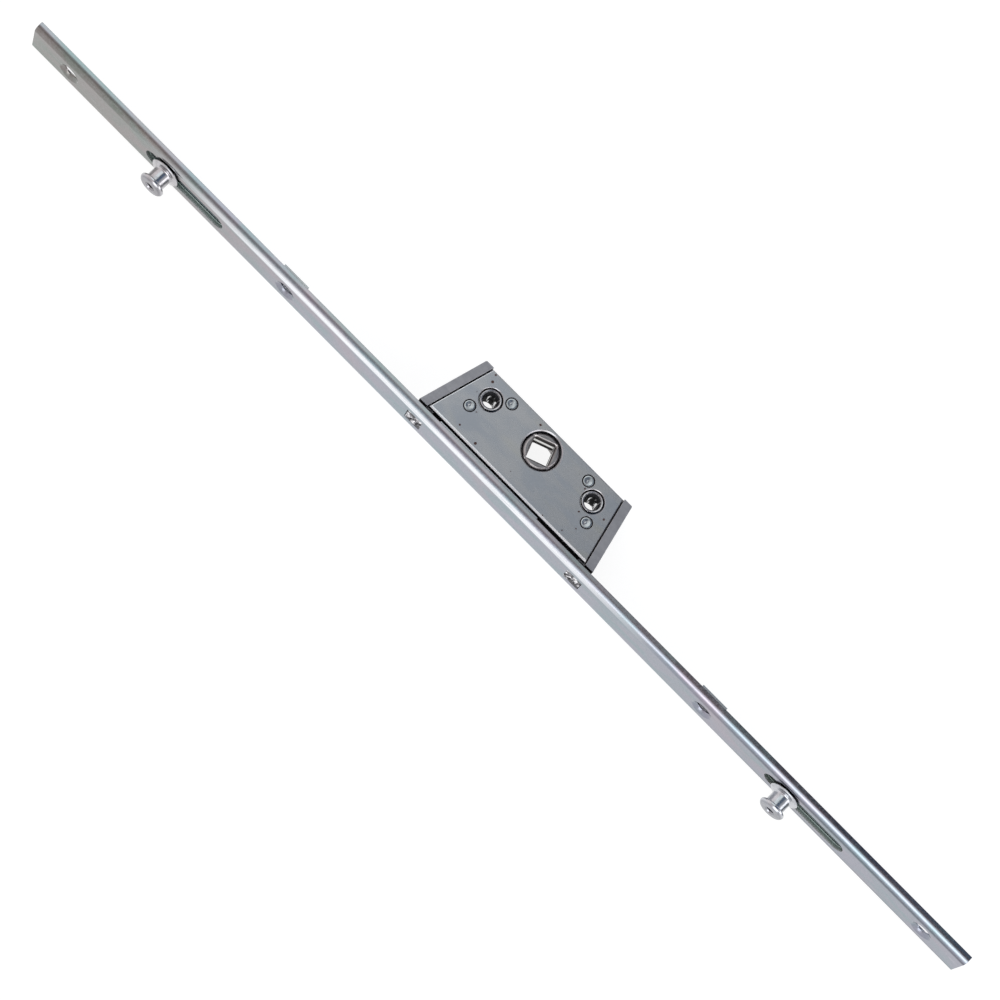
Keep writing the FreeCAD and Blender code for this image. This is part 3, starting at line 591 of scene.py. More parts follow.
class Workshop:
    """Shared operations that turn a bmesh into a finished piece on a body."""

    def __init__(self) -> None:
        """Start with no finish made."""
        self.made: dict[str, bpy.types.Material] = {}

    def finish(self, kind: Finish) -> bpy.types.Material:
        """Return a finish's material, made once.

        Args:
            kind: the finish.

        Returns:
            The material.
        """
        if kind.name not in self.made:
            self.made[kind.name] = kind.make()
        return self.made[kind.name]

    def linked(self, blank: Blank, name: str, scale: float = MM) -> Piece:
        """Turn a bmesh into an object.

        Args:
            blank: the bmesh, which is freed.
            name: the object's name.
            scale: the factor that brings it to metres.

        Returns:
            The object, at the origin.
        """
        bmesh.ops.recalc_face_normals(blank, faces=blank.faces)
        bmesh.ops.scale(blank, vec=(scale, scale, scale), verts=blank.verts)
        mesh = bpy.data.meshes.new(name)
        blank.to_mesh(mesh)
        blank.free()
        piece = bpy.data.objects.new(name, mesh)
        bpy.context.scene.collection.objects.link(piece)
        return piece

    def publish(self, blank: Blank, name: str, kind: Finish, scale: float = MM) -> Piece:
        """Turn a bmesh into a finished object with smooth faces and crisp edges.

        Args:
            blank: the bmesh, which is freed.
            name: the object's name.
            kind: its finish.
            scale: the factor that brings it to metres.

        Returns:
            The object, at the origin.
        """
        bmesh.ops.remove_doubles(blank, verts=blank.verts, dist=1e-5)
        piece = self.linked(blank, name, scale)
        piece.data.materials.append(self.finish(kind))
        piece.data.shade_smooth()
        piece.data.set_sharp_from_angle(angle=CREASE)
        return piece

    def settle(self, piece: Piece) -> None:
        """Apply a piece's modifiers to its mesh.

        Args:
            piece: the object.
        """
        bpy.context.view_layer.update()
        graph = bpy.context.evaluated_depsgraph_get()
        baked = bpy.data.meshes.new_from_object(piece.evaluated_get(graph), preserve_all_data_layers=True,
                                                depsgraph=graph)
        piece.modifiers.clear()
        raw = piece.data
        piece.data = baked
        bpy.data.meshes.remove(raw)

    def carve(self, piece: Piece, cutters: Iterable[Piece]) -> None:
        """Cut holes through a piece.

        Args:
            piece: the object that is cut.
            cutters: closed objects, which are removed afterwards.
        """
        for tool in cutters:
            cut = piece.modifiers.new("cut", "BOOLEAN")
            cut.operation = "DIFFERENCE"
            cut.solver = "EXACT"
            cut.object = tool
            self.settle(piece)
            mesh = tool.data
            bpy.data.objects.remove(tool)
            bpy.data.meshes.remove(mesh)

    def soften(self, piece: Piece, width: float, limit: float = 40.0) -> None:
        """Round a piece's sharp edges and keep its flat faces flat.

        Args:
            piece: the object.
            width: the rounding's width in millimetres.
            limit: the least angle in degrees of an edge that is rounded.
        """
        rounding = piece.modifiers.new("rounding", "BEVEL")
        rounding.width = width * MM
        rounding.segments = 2
        rounding.limit_method = "ANGLE"
        rounding.angle_limit = math.radians(limit)
        rounding.use_clamp_overlap = True
        rounding.miter_outer = "MITER_ARC"
        self.even_shading(piece)

    def even_shading(self, piece: Piece) -> None:
        """Keep a piece's flat faces flat beside its rounded ones.

        Args:
            piece: the object.
        """
        weighting = piece.modifiers.new("flat_faces", "WEIGHTED_NORMAL")
        weighting.keep_sharp = True
        weighting.weight = 90
        self.settle(piece)

    def turned(self, outline: Outline, axis: Axis, centre: Point, steps: int = 96) -> Blank:
        """Spin an outline into a round piece.

        Args:
            outline: (radius, height) points in millimetres.
            axis: the turning axis.
            centre: a point on the axis, from which heights count.
            steps: how many faces go round.

        Returns:
            The bmesh, in millimetres.
        """
        piece = bmesh.new()
        along = Vector(axis.value)
        across = Vector(Axis.Y.value if axis is Axis.X else Axis.X.value)
        chain = [piece.verts.new(Vector(centre) + across * radius + along * height)
                 for radius, height in outline]
        edges = [piece.edges.new(pair) for pair in zip(chain, chain[1:])]
        bmesh.ops.spin(piece, geom=chain + edges, cent=centre, axis=along, angle=math.tau, steps=steps,
                       use_merge=True)
        bmesh.ops.remove_doubles(piece, verts=piece.verts, dist=1e-4)
        return piece

    def drill(self, outline: Outline, axis: Axis, centre: Point, steps: int = 96) -> Piece:
        """Return a round throwaway cutter, spun as a round piece is."""
        return self.linked(self.turned(outline, axis, centre, steps), "cutter")

    def from_node(self, node: str) -> Blank:
        """Return a merged copy of a construction node, in metres, with its flat faces joined.

        Args:
            node: the node's name.

        Returns:
            The bmesh, in metres.
        """
        copy = bmesh.new()
        copy.from_mesh(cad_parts[node].data)
        bmesh.ops.remove_doubles(copy, verts=copy.verts, dist=1e-6)
        bmesh.ops.dissolve_limit(copy, angle_limit=FLAT, verts=copy.verts, edges=copy.edges)
        return copy

    def assign(self, node: str, kind: Finish) -> None:
        """Give a construction node a finish on its own object, and report it.

        Args:
            node: the node's name.
            kind: its finish.
        """
        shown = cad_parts[node]
        if not shown.material_slots:
            shown.data.materials.append(self.finish(kind))
        for place in shown.material_slots:
            place.material = self.finish(kind)
        log.info("%s keeps its construction shape, in %s", node, kind.name)

    def seat(self, piece: Piece, body: str, node: str, slot: str) -> None:
        """Put a piece on its body in place of a node, and report it.

        Args:
            piece: the object.
            body: the body that it moves with.
            node: the construction node that it stands for.
            slot: the record's material slot; not used.
        """
        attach(piece, body)
        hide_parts(node)
        log.info("%s stands for %s on %s, %d faces", piece.name, node, body, len(piece.data.polygons))


CHANNEL = PlatedSteel(
    "zinc_plated_channel", (0.355, 0.335, 0.405), (0.285, 0.345, 0.385), (0.425, 0.33, 0.385),
    (0.54, 0.55, 0.60), roughness=0.17, ends=((0.61, 0.585, 0.46), (0.77, 0.83, 0.83)),
    flank_light=((1.69, 1.81, 2.05), (1.43, 1.25, 1.11)), corner_highlight=(0.93, 0.95, 0.98))
COVER = PlatedSteel(
    "zinc_plated_cover", (0.36, 0.346, 0.357), (0.325, 0.33, 0.36), (0.375, 0.355, 0.325), (0.58, 0.57, 0.58),
    roughness=0.27, line_turn=22.0, scratches=0.55, specks=0.8, edge_width=0.1)
# Near white and only partly metallic: a painted highlight on the cover's sloped front edge and its left rims.
PAINTED_HIGHLIGHT_EDGE = PlatedSteel(
    "painted_highlight_edge", (0.96, 0.96, 0.97), (0.93, 0.94, 0.96), (0.96, 0.94, 0.92), (0.98, 0.98, 0.98),
    roughness=0.25, shade_reach=0.4, shine=0.6)
SHEARED = PlatedSteel(
    "sheared_slot_wall", (0.33, 0.355, 0.345), (0.28, 0.325, 0.31), (0.37, 0.37, 0.36), (0.60, 0.62, 0.62),
    roughness=0.38, shade_reach=0.5, shine=0.2,
    sheared=((1.75, 1.95, 1.85), (0.45, 0.56, 0.50), (1.15, 1.12, 1.13)))
# Near black and dull: painted shade on the cover's front wall.
PAINTED_SHADE_WALL = PlatedSteel(
    "painted_shade_front_wall", (0.014, 0.013, 0.014), (0.010, 0.011, 0.014), (0.018, 0.014, 0.012),
    (0.03, 0.03, 0.03), roughness=0.85, shine=0.0)
ROD = PlatedSteel(
    "zinc_plated_rod", (0.38, 0.42, 0.47), (0.33, 0.37, 0.43), (0.42, 0.41, 0.40), (0.60, 0.62, 0.66),
    roughness=0.3, shade_reach=3.4)
PRESSED = PlatedSteel(
    "pressed_steel", (0.45, 0.46, 0.48), (0.39, 0.41, 0.44), (0.46, 0.44, 0.41), (0.64, 0.64, 0.67),
    roughness=0.33, shade_reach=3.2)
HOUSING = CastZinc(
    "cast_zinc", (0.385, 0.37, 0.385), (0.275, 0.265, 0.285), (0.66, 0.65, 0.68),
    shade_reach=3.6, shaded_wall=-14.6, staked_from=-19.2)
FOLLOWER = CastZinc(
    "cast_follower", (0.30, 0.28, 0.28), (0.20, 0.187, 0.19), (0.66, 0.63, 0.63),
    roughness=0.33, pit_depth=0.012, edge_width=0.14, shade_reach=9.0, rubbed_rim=4.9, broached=4.9)


@dataclass
class Assembly:
    """A group of pieces that one workshop makes and seats together."""

    shop: Workshop

    def build(self) -> None:
        """Build and dress the pieces."""
        raise NotImplementedError


@dataclass
class Faceplate(Assembly):
    """The folded channel, with countersunk holes, cam slots and tenon holes."""

    length: float = 392.0
    width: float = 16.0
    sheet: float = 1.5
    front: float = -20.0
    back: float = -17.0
    corner: float = 2.5
    screw_places: tuple[float, ...] = (-180.7, -88.4, 88.4, 180.7)
    screw_radius: float = 2.4
    countersink_radius: float = 3.8
    countersink_depth: float = 1.0
    slot_places: tuple[float, ...] = (-131.3, 131.3)
    slot_length: float = 32.52
    slot_width: float = 6.6
    tenon_inner: float = 30.75
    tenon_outer: float = 36.75
    tenon_half: float = 3.3
    rounding: float = 0.16
    finish: PlatedSteel = CHANNEL
    slot_finish: PlatedSteel = SHEARED

    def section(self) -> Blank:
        """Return the channel, swept from one end to the other from its section.

        Each row of the path is a straight run to a place in Y and Z, then the side, degrees and steps of
        the rolled corner that follows it.

        Returns:
            The bmesh, in millimetres.
        """
        piece = bmesh.new()
        half = self.width / 2
        x = -self.length / 2
        inner = self.corner - self.sheet
        bend_y = self.front + self.corner
        bend_z = half - self.corner

        path = (
            (bend_y, half, 1, 90, 18), (self.front, -bend_z, -1, 90, 18), (self.back, -half, 0, 0, 0),
            (self.back, -bend_z - inner, 0, 0, 0), (bend_y, -bend_z - inner, -1, -90, 10),
            (self.front + self.sheet, bend_z, 1, -90, 10), (self.back, bend_z + inner, 0, 0, 0),
        )
        start = vert = piece.verts.new((x, self.back, half))
        for y, z, side, turn, steps in path:
            vert = bmesh.ops.extrude_vert_indiv(piece, verts=[vert])["verts"][0]
            vert.co = (x, y, z)
            if steps:
                made = bmesh.ops.spin(piece, geom=[vert], cent=(x, bend_y, side * bend_z), axis=(1, 0, 0),
                                      angle=math.radians(turn), steps=steps)
                vert = made["geom_last"][0]
        piece.edges.new((vert, start))
        bmesh.ops.contextual_create(piece, geom=list(piece.edges))
        swept = bmesh.ops.extrude_face_region(piece, geom=list(piece.faces))
        moved = [item for item in swept["geom"] if isinstance(item, bmesh.types.BMVert)]
        bmesh.ops.translate(piece, vec=(self.length, 0, 0), verts=moved)
        return piece

    def screw_outline(self) -> Outline:
        """Return the half section of a countersunk hole's cutter.

        Returns:
            (radius, height) points in millimetres.
        """
        flare = (self.countersink_radius - self.screw_radius) / self.countersink_depth
        over = self.countersink_radius + flare
        low, seat, high = self.front - OVERCUT, self.front + self.countersink_depth, self.front + 3
        return [(0, low), (over, low), (self.screw_radius, seat), (self.screw_radius, high), (0, high)]

    def slot_cutter(self, x: float) -> Piece:
        """Return the cutter of one round-ended cam slot.

        Args:
            x: the slot's middle along the channel.

        Returns:
            The cutter.
        """
        cut = bmesh.new()
        bmesh.ops.create_cone(cut, cap_ends=True, segments=72, radius1=self.slot_width / 2,
                              radius2=self.slot_width / 2, depth=6,
                              matrix=Matrix.Rotation(math.radians(2.5), 4, "Z"))
        bmesh.ops.rotate(cut, cent=(0, 0, 0), matrix=ALONG_Y, verts=cut.verts)
        reach = (self.slot_length - self.slot_width) / 2
        for side in Side:
            end = [vert for vert in cut.verts if vert.co.x * side.value > 0]
            bmesh.ops.translate(cut, vec=(side.value * reach, 0, 0), verts=end)
        bmesh.ops.translate(cut, vec=(x, self.front + 0.5, 0), verts=cut.verts)
        return self.shop.linked(cut, "cutter")

    def tenon_cutter(self, side: Side) -> Piece:
        """Return the cutter of one tenon hole.

        Args:
            side: the end of the case.

        Returns:
            The cutter.
        """
        cut = bmesh.new()
        bmesh.ops.create_cube(cut, size=1)
        bmesh.ops.scale(cut, vec=(self.tenon_outer - self.tenon_inner, 4, 2 * self.tenon_half),
                        verts=cut.verts)
        middle = side.value * (self.tenon_inner + self.tenon_outer) / 2
        bmesh.ops.translate(cut, vec=(middle, self.front + 0.5, 0), verts=cut.verts)
        return self.shop.linked(cut, "cutter")

    def build(self) -> None:
        """Build and dress the channel."""
        shop = self.shop
        piece = shop.publish(self.section(), "channel_faceplate", self.finish)
        shop.carve(piece, [shop.drill(self.screw_outline(), Axis.Y, (x, 0, 0), 72) for x in self.screw_places]
                   + [self.tenon_cutter(side) for side in Side])
        shop.soften(piece, self.rounding, 35)
        shop.carve(piece, [self.slot_cutter(x) for x in self.slot_places])
        piece.data.materials.append(shop.finish(self.slot_finish))
        for face in piece.data.polygons:
            x, _, z = face.center / MM
            beside = min(abs(x - place) for place in self.slot_places) < self.slot_length / 2 + NEAR
            if beside and abs(z) < self.slot_width / 2 + NEAR and abs(face.normal.y) < 0.5:
                face.material_index = 1
        piece.data.set_sharp_from_angle(angle=CREASE)
        shop.even_shading(piece)
        shop.seat(piece, "case", "faceplate", "zinc_plated_channel")


@dataclass
class GearCase(Assembly):
    """The cast housing, with staked tenons that hold it in the channel."""

    rounding: float = 0.18
    finish: CastZinc = HOUSING

    def build(self) -> None:
        """Build and dress the housing."""
        shop = self.shop
        casting = shop.publish(shop.from_node("housing"), "gear_case_casting", self.finish, scale=1.0)
        shop.soften(casting, self.rounding)
        shop.seat(casting, "case", "housing", "cast_zinc")


@dataclass
class CoverPlate(Assembly):
    """The steel cover plate, with bevelled holes, a painted highlight on its sloped front edge and painted
    shade on its front wall.
    """

    front: float = -15.0
    back: float = 7.3
    front_half: float = 32.86
    back_half: float = 27.475
    bottom: float = 4.2
    top: float = 5.7
    edge_rounding: float = 0.25
    front_slope: float = 0.68
    front_drop: float = 0.36
    holes: tuple[tuple[float, float, float], ...] = ((0, 6.2, 0.38), (-21.5, 3.8, 0.2), (21.5, 3.8, 0.2))
    rivet_hole: float = 1.31
    rivet_mouth: float = 2.06
    rivet_places: tuple[tuple[float, float], ...] = ((-16.3, 3.8), (-24.7, -6.0), (16.3, 3.8), (24.7, -6.0))
    finishes: tuple[PlatedSteel, ...] = (COVER, PAINTED_HIGHLIGHT_EDGE, PAINTED_SHADE_WALL)

    def blank(self) -> Blank:
        """Return the plate without holes, its front edge sloped and its other top edges rounded.

        Returns:
            The bmesh, in millimetres.
        """
        piece = bmesh.new()
        bmesh.ops.create_cube(piece, size=1)
        bmesh.ops.scale(piece, vec=(2 * self.front_half, self.back - self.front, self.top - self.bottom),
                        verts=piece.verts)
        bmesh.ops.translate(piece, vec=(0, (self.back + self.front) / 2, (self.top + self.bottom) / 2),
                            verts=piece.verts)
        rear = [vert for vert in piece.verts if vert.co.y > 0]
        bmesh.ops.scale(piece, vec=(self.back_half / self.front_half, 1, 1), verts=rear)
        slope_line = self.front + self.front_slope
        bmesh.ops.bisect_plane(piece, geom=list(piece.verts) + list(piece.edges) + list(piece.faces),
                               plane_co=(0, slope_line, 0), plane_no=(0, 1, 0))
        nose = [vert for vert in piece.verts
                if vert.co.y < self.front + NEAR and vert.co.z > self.top - NEAR]
        bmesh.ops.translate(piece, vec=(0, 0, -self.front_drop), verts=nose)
        for face in piece.faces:
            # The sloped front top gets the painted highlight finish.
            if face.normal.z > 0.5 and face.calc_center_median().y < slope_line:
                face.material_index = 1
            # The front wall gets the painted shade finish.
            elif face.normal.y < -0.9:
                face.material_index = 2
        rims = [edge for edge in piece.edges
                if all(vert.co.z > self.top - 0.3 and vert.co.y > self.front + 0.1 for vert in edge.verts)
                and edge.calc_face_angle(0) > math.radians(60)]
        rounded = bmesh.ops.bevel(piece, geom=rims, offset=self.edge_rounding, affect="EDGES", segments=3,
                                  profile=0.5, material=-1)
        # Rounded rims that face left get the painted highlight finish too.
        for face in rounded["faces"]:
            if face.normal.x < -0.2 and face.normal.z > 0.4:
                face.material_index = 1
        return piece

    def build(self) -> None:
        """Build and dress the cover plate."""
        shop, low, high = self.shop, self.bottom - OVERCUT, self.top + OVERCUT
        piece = shop.publish(self.blank(), "gear_case_cover", self.finishes[0])
        for kind in self.finishes[1:]:
            piece.data.materials.append(shop.finish(kind))
        for x, radius, bevel in self.holes:
            hole = [(0, low), (radius, low), (radius, self.top - bevel), (radius + bevel + OVERCUT, high),
                    (0, high)]
            shop.carve(piece, [shop.drill(hole, Axis.Z, (x, 0, 0), 128)])
        flare = (self.rivet_mouth - self.rivet_hole) / (self.top - self.bottom)
        seat = [(0, low), (self.rivet_hole, low), (self.rivet_hole, self.bottom),
                (self.rivet_mouth + flare, high), (0, high)]
        shop.carve(piece, [shop.drill(seat, Axis.Z, (*place, 0), 64) for place in self.rivet_places])
        shop.even_shading(piece)
        shop.seat(piece, "case", "cover_plate", "zinc_plated_cover")


@dataclass
class CaseRivets(Assembly):
    """The four spun rivets that hold the cover plate, each with a raised rim and an off-centre dimple."""

    head: float = 2.05
    top: float = 5.7
    bottom: float = -5.9
    shank: float = 1.3
    cover_bottom: float = 4.2
    lean: float = 0.16
    lean_share: float = 0.6
    lean_reaches: tuple[float, ...] = (1.45, 0.9)
    places: tuple[tuple[str, float, float, float], ...] = (
        ("left_inner", -16.3, 3.8, 205.0),
        ("left_outer", -24.7, -6.0, 160.0),
        ("right_inner", 16.3, 3.8, 250.0),
        ("right_outer", 24.7, -6.0, 215.0),
    )

    def outline(self) -> Outline:
        """Return the rivet's half section, from its tail to its dimple.

        Returns:
            (radius, height) points in millimetres.
        """
        head, top = self.head, self.top
        return [(0.0, self.bottom), (self.shank, self.bottom), (self.shank, self.cover_bottom),
                (head - 0.33, top - 0.66), (head - 0.31, top - 0.22), (head - 0.38, top - 0.08),
                (head - 0.52, top - 0.02), (head - 0.85, top - 0.03), (0.86, top - 0.1), (0.62, top - 0.2),
                (0.42, top - 0.22), (0.26, top - 0.14), (0.0, top - 0.11)]

    def build(self) -> None:
        """Build and dress the four rivets."""
        shop = self.shop
        for word, x, y, turn in self.places:
            piece = shop.turned(self.outline(), Axis.Z, (x, y, 0), 48)
            lean = Vector((math.cos(math.radians(turn)), math.sin(math.radians(turn)), 0)) * self.lean
            for reach in self.lean_reaches:
                middle = [vert for vert in piece.verts if vert.co.z > self.cover_bottom + 0.5
                          and (vert.co.xy - Vector((x, y))).length < reach]
                bmesh.ops.translate(piece, vec=lean * self.lean_share, verts=middle)
            finish = TurnedMetal(f"rivet_steel_{word}", (0.46, 0.47, 0.48), (0.32, 0.33, 0.34), Axis.Z,
                                 (x, y, 0), roughness=0.26, ring_depth=0.008, ring_pitch=0.3)
            made = shop.publish(piece, f"spun_rivet_{word}", finish)
            shop.seat(made, "case", f"case_rivet_{word}", "rivet_steel")


@dataclass
class ScrewBushes(Assembly):
    """The two flanged bushes that the handle screws pass through."""

    place: float = 21.5
    top: float = 5.7
    bottom: float = -5.9
    cover_bottom: float = 4.2
    flange: float = 3.7
    body: float = 3.0
    rim: float = 3.32
    mouth: float = 2.78
    bore: float = 2.25
    dish_floor: float = 3.9
    back_mouth: float = -3.2
    back_flare: float = 0.42

    def outline(self) -> Outline:
        """Return the bush's closed half section, with a grooved rim and a dished mouth.

        Returns:
            (radius, height) points in millimetres.
        """
        top, rim, low = self.top, self.rim, self.cover_bottom
        fall = top - 0.3 - self.dish_floor
        dish = [(self.bore + (self.mouth - self.bore) * (1 - math.cos(math.radians(angle))),
                 self.dish_floor + fall * math.sin(math.radians(angle)))
                for angle in range(90, -1, -15)]
        return [(self.bore, self.back_mouth), (self.bore + self.back_flare, self.bottom),
                (self.body, self.bottom), (self.body, low), (self.flange, low), (self.flange, low + 0.35),
                (rim, low + 0.42), (rim, top - 0.3), (rim - 0.08, top - 0.1), (rim - 0.24, top - 0.02),
                (rim - 0.42, top - 0.08), (self.mouth + 0.06, top - 0.2), *dish, (self.bore, self.back_mouth)]

    def build(self) -> None:
        """Build and dress the two bushes."""
        for side in Side:
            centre = (side.value * self.place, 0.0, 0.0)
            finish = TurnedMetal(f"turned_steel_{side.word}", (0.66, 0.66, 0.67), (0.44, 0.44, 0.46), Axis.Z,
                                 centre, roughness=0.12, ring_depth=0.005, ring_pitch=0.3, inner=self.mouth)
            made = self.shop.publish(self.shop.turned(self.outline(), Axis.Z, centre),
                                         f"handle_screw_bush_{side.word}", finish)
            self.shop.seat(made, "case", f"screw_bush_{side.word}", "turned_steel")


@dataclass
class MushroomCams(Assembly):
    """The two mushroom cams, each with a domed head, a straight body, a collar and a riveted tail."""

    spacing: float = 262.6
    rest_shift: float = -6.9115
    off_centre: float = -0.7
    collar: float = 5.2
    collar_back: float = -20.3
    collar_front: float = -21.2
    body: float = 3.2
    body_front: float = -25.5
    fillet: float = 0.75
    head: float = 4.4
    head_front: float = -27.1
    shank: float = 2.4
    tail_front: float = -16.35
    tail_back: float = -15.55
    tail: float = 3.3
    key_across: float = 2.5
    key_depth: float = 1.8
    mouth_radius: float = 1.75

    def mushroom(self, centre: Point) -> Blank:
        """Return the head, body and collar about the off-centre axis.

        Args:
            centre: a point on that axis.

        Returns:
            The bmesh, in millimetres.
        """
        fillet, collar, head, body, front = self.fillet, self.collar, self.head, self.body, self.collar_front
        neck, cap = self.body_front, self.head_front
        piece = self.shop.turned([
            (0.0, self.collar_back), (collar - 0.15, self.collar_back), (collar, self.collar_back - 0.12),
            (collar, self.collar_back - 0.3), (collar - 0.35, front + 0.28), (collar - 0.9, front + 0.08),
            (body + fillet, front), (body + fillet * 0.4, front - fillet * 0.16),
            (body + fillet * 0.1, front - fillet * 0.5), (body, front - fillet), (body, neck + 0.15),
            (body + 0.15, neck), (head - 0.3, neck), (head, neck - 0.3), (head, cap + 0.75),
            (head - 0.65, cap), (0.0, cap),
        ], Axis.Y, centre, 112)
        for radius, height, width in ((head - 0.65, cap, 0.28), (head, cap + 0.75, 0.22),
                                      (head, neck - 0.3, 0.1), (head - 0.3, neck, 0.1)):
            self.round_ring(piece, centre, radius, height, width)
        return piece

    def round_ring(self, piece: Blank, centre: Point, radius: float, height: float, width: float) -> None:
        """Round one ring edge of a piece turned about Y.

        Args:
            piece: the bmesh in millimetres.
            centre: a point on its axis.
            radius: the ring's radius.
            height: its place along the axis.
            width: the rounding.
        """
        picked = []
        for edge in piece.edges:
            ends = [vert.co - Vector(centre) for vert in edge.verts]
            if all(abs(end.y - height) < 2e-3 and abs(end.xz.length - radius) < 2e-3 for end in ends):
                picked.append(edge)
        bmesh.ops.bevel(piece, geom=picked, offset=width, offset_type="OFFSET", affect="EDGES", segments=4,
                        profile=0.5, material=-1, clamp_overlap=True)

    def spindle(self, x: float) -> Blank:
        """Return the shank and its headed tail about the rod hole's axis.

        Args:
            x: the shank's place along the rod.

        Returns:
            The bmesh, in millimetres.
        """
        start, tail, back = self.collar_back - 0.2, self.tail, self.tail_back
        return self.shop.turned([
            (0.0, start), (self.shank, start), (self.shank, self.tail_front), (tail, self.tail_front),
            (tail, self.tail_front + 0.35), (tail - 0.25, back - 0.12), (tail - 0.8, back), (1.3, back),
            (0.9, back - 0.35), (0.0, back - 0.4),
        ], Axis.Y, (x, 0.0, 0.0), 72)

    def key_cutters(self, centre: Point) -> list[Piece]:
        """Return the cutters of the hexagon key socket in the head and of its dished mouth.

        Args:
            centre: a point on the head's axis.

        Returns:
            The two cutters.
        """
        cut = bmesh.new()
        radius = self.key_across / math.sqrt(3)
        bmesh.ops.create_cone(cut, cap_ends=True, segments=6, radius1=radius, radius2=radius,
                              depth=2 * self.key_depth)
        bmesh.ops.rotate(cut, cent=(0, 0, 0), matrix=ALONG_Y, verts=cut.verts)
        bmesh.ops.translate(cut, vec=(centre[0], self.head_front, 0), verts=cut.verts)
        mouth, cap = self.mouth_radius, self.head_front
        dish = [(0, cap - 0.5), (mouth + 0.5, cap - 0.5), (mouth, cap), (mouth - 0.3, cap + 0.4),
                (0, cap + 0.75)]
        return [self.shop.linked(cut, "cutter"), self.shop.drill(dish, Axis.Y, centre, 64)]

    def build(self) -> None:
        """Build and dress the two cams."""
        shop = self.shop
        tones = {Side.LEFT: ((0.53, 0.52, 0.54), (0.40, 0.39, 0.40)),
                 Side.RIGHT: ((0.57, 0.58, 0.61), (0.43, 0.44, 0.46))}
        for side in Side:
            x = side.value * self.spacing / 2 + self.rest_shift
            centre = (x + self.off_centre, 0.0, 0.0)
            node = f"cam_{side.word}"
            finish = TurnedMetal(f"cam_zinc_{side.word}", *tones[side], Axis.Y, centre, roughness=0.2,
                                 ring_depth=0.04, ring_pitch=0.5, shaded_end=self.head_front)
            made = shop.publish(self.mushroom(centre), f"mushroom_{node}", finish)
            shop.carve(made, self.key_cutters(centre))
            made.data.set_sharp_from_angle(angle=CREASE)
            shop.seat(made, node, node, "cam_zinc")
            tail = shop.publish(self.spindle(x), f"cam_shank_{side.word}", finish)
            shop.seat(tail, node, node, "cam_zinc")


@dataclass
class DriveTrain(Assembly):
    """The follower and the rod, and the rack, washers and guides that keep their construction shapes."""

    rounding: float = 0.1
    hub_radius: float = 5.9
    hub_top: float = 5.35
    rim_width: float = 0.95
    rim_drop: float = 0.6
    back_bore: float = 5.45
    back_bore_top: float = -1.05
    rod_end: float = 129.0
    rod_reach: float = 16.0
    plain_nodes: tuple[tuple[str, PlatedSteel], ...] = (
        ("rack", PRESSED), ("rack_rivet_left", ROD), ("rack_rivet_right", ROD), ("cam_washer_left", PRESSED),
        ("cam_washer_right", PRESSED), ("screw_guide_left", PRESSED), ("screw_guide_right", PRESSED))

    def rim_ring(self) -> Outline:
        """Return the closed half section of the ring that bevels the hub's upper rim.

        Returns:
            (radius, height) points in millimetres.
        """
        outer, inner, top = self.hub_radius, self.hub_radius - self.rim_width, self.hub_top
        start, far, drop = top - self.rim_drop - 0.2, outer + OVERCUT, top - self.rim_drop
        return [(far, start), (outer, start), (outer - 0.12, drop), (inner + 0.15, top - 0.09),
                (inner, top - 0.02), (inner - 0.15, top + 0.001), (inner - 0.15, top + OVERCUT),
                (far, top + OVERCUT), (far, start)]

    def hub(self) -> None:
        """Build and dress the follower, its rim bevelled and its hole wider below the broached square."""
        shop = self.shop
        piece = shop.publish(shop.from_node("follower"), "toothed_follower", FOLLOWER, scale=1.0)
        shop.soften(piece, self.rounding, 25)
        low = -self.hub_top - OVERCUT
        bore = [(0, low), (self.back_bore, low), (self.back_bore, self.back_bore_top),
                (0, self.back_bore_top)]
        shop.carve(piece, [shop.drill(self.rim_ring(), Axis.Z, (0, 0, 0), 128),
                           shop.drill(bore, Axis.Z, (0, 0, 0))])
        piece.data.set_sharp_from_angle(angle=CREASE)
        shop.even_shading(piece)
        shop.seat(piece, "follower", "follower", "cast_follower")

    def rod(self) -> None:
        """Build and dress the rod, whose right end reaches past the cam slot as in the photograph."""
        shop = self.shop
        blank = shop.from_node("drive_rod")
        end = [vert for vert in blank.verts if vert.co.x > self.rod_end * MM]
        bmesh.ops.translate(blank, vec=(self.rod_reach * MM, 0, 0), verts=end)
        piece = shop.publish(blank, "cam_rod", ROD, scale=1.0)
        shop.soften(piece, self.rounding)
        shop.seat(piece, "rod", "drive_rod", "zinc_plated_rod")

    def build(self) -> None:
        """Build the follower's and the rod's copies and dress the other nodes."""
        self.hub()
        self.rod()
        for node, finish in self.plain_nodes:
            self.shop.assign(node, finish)


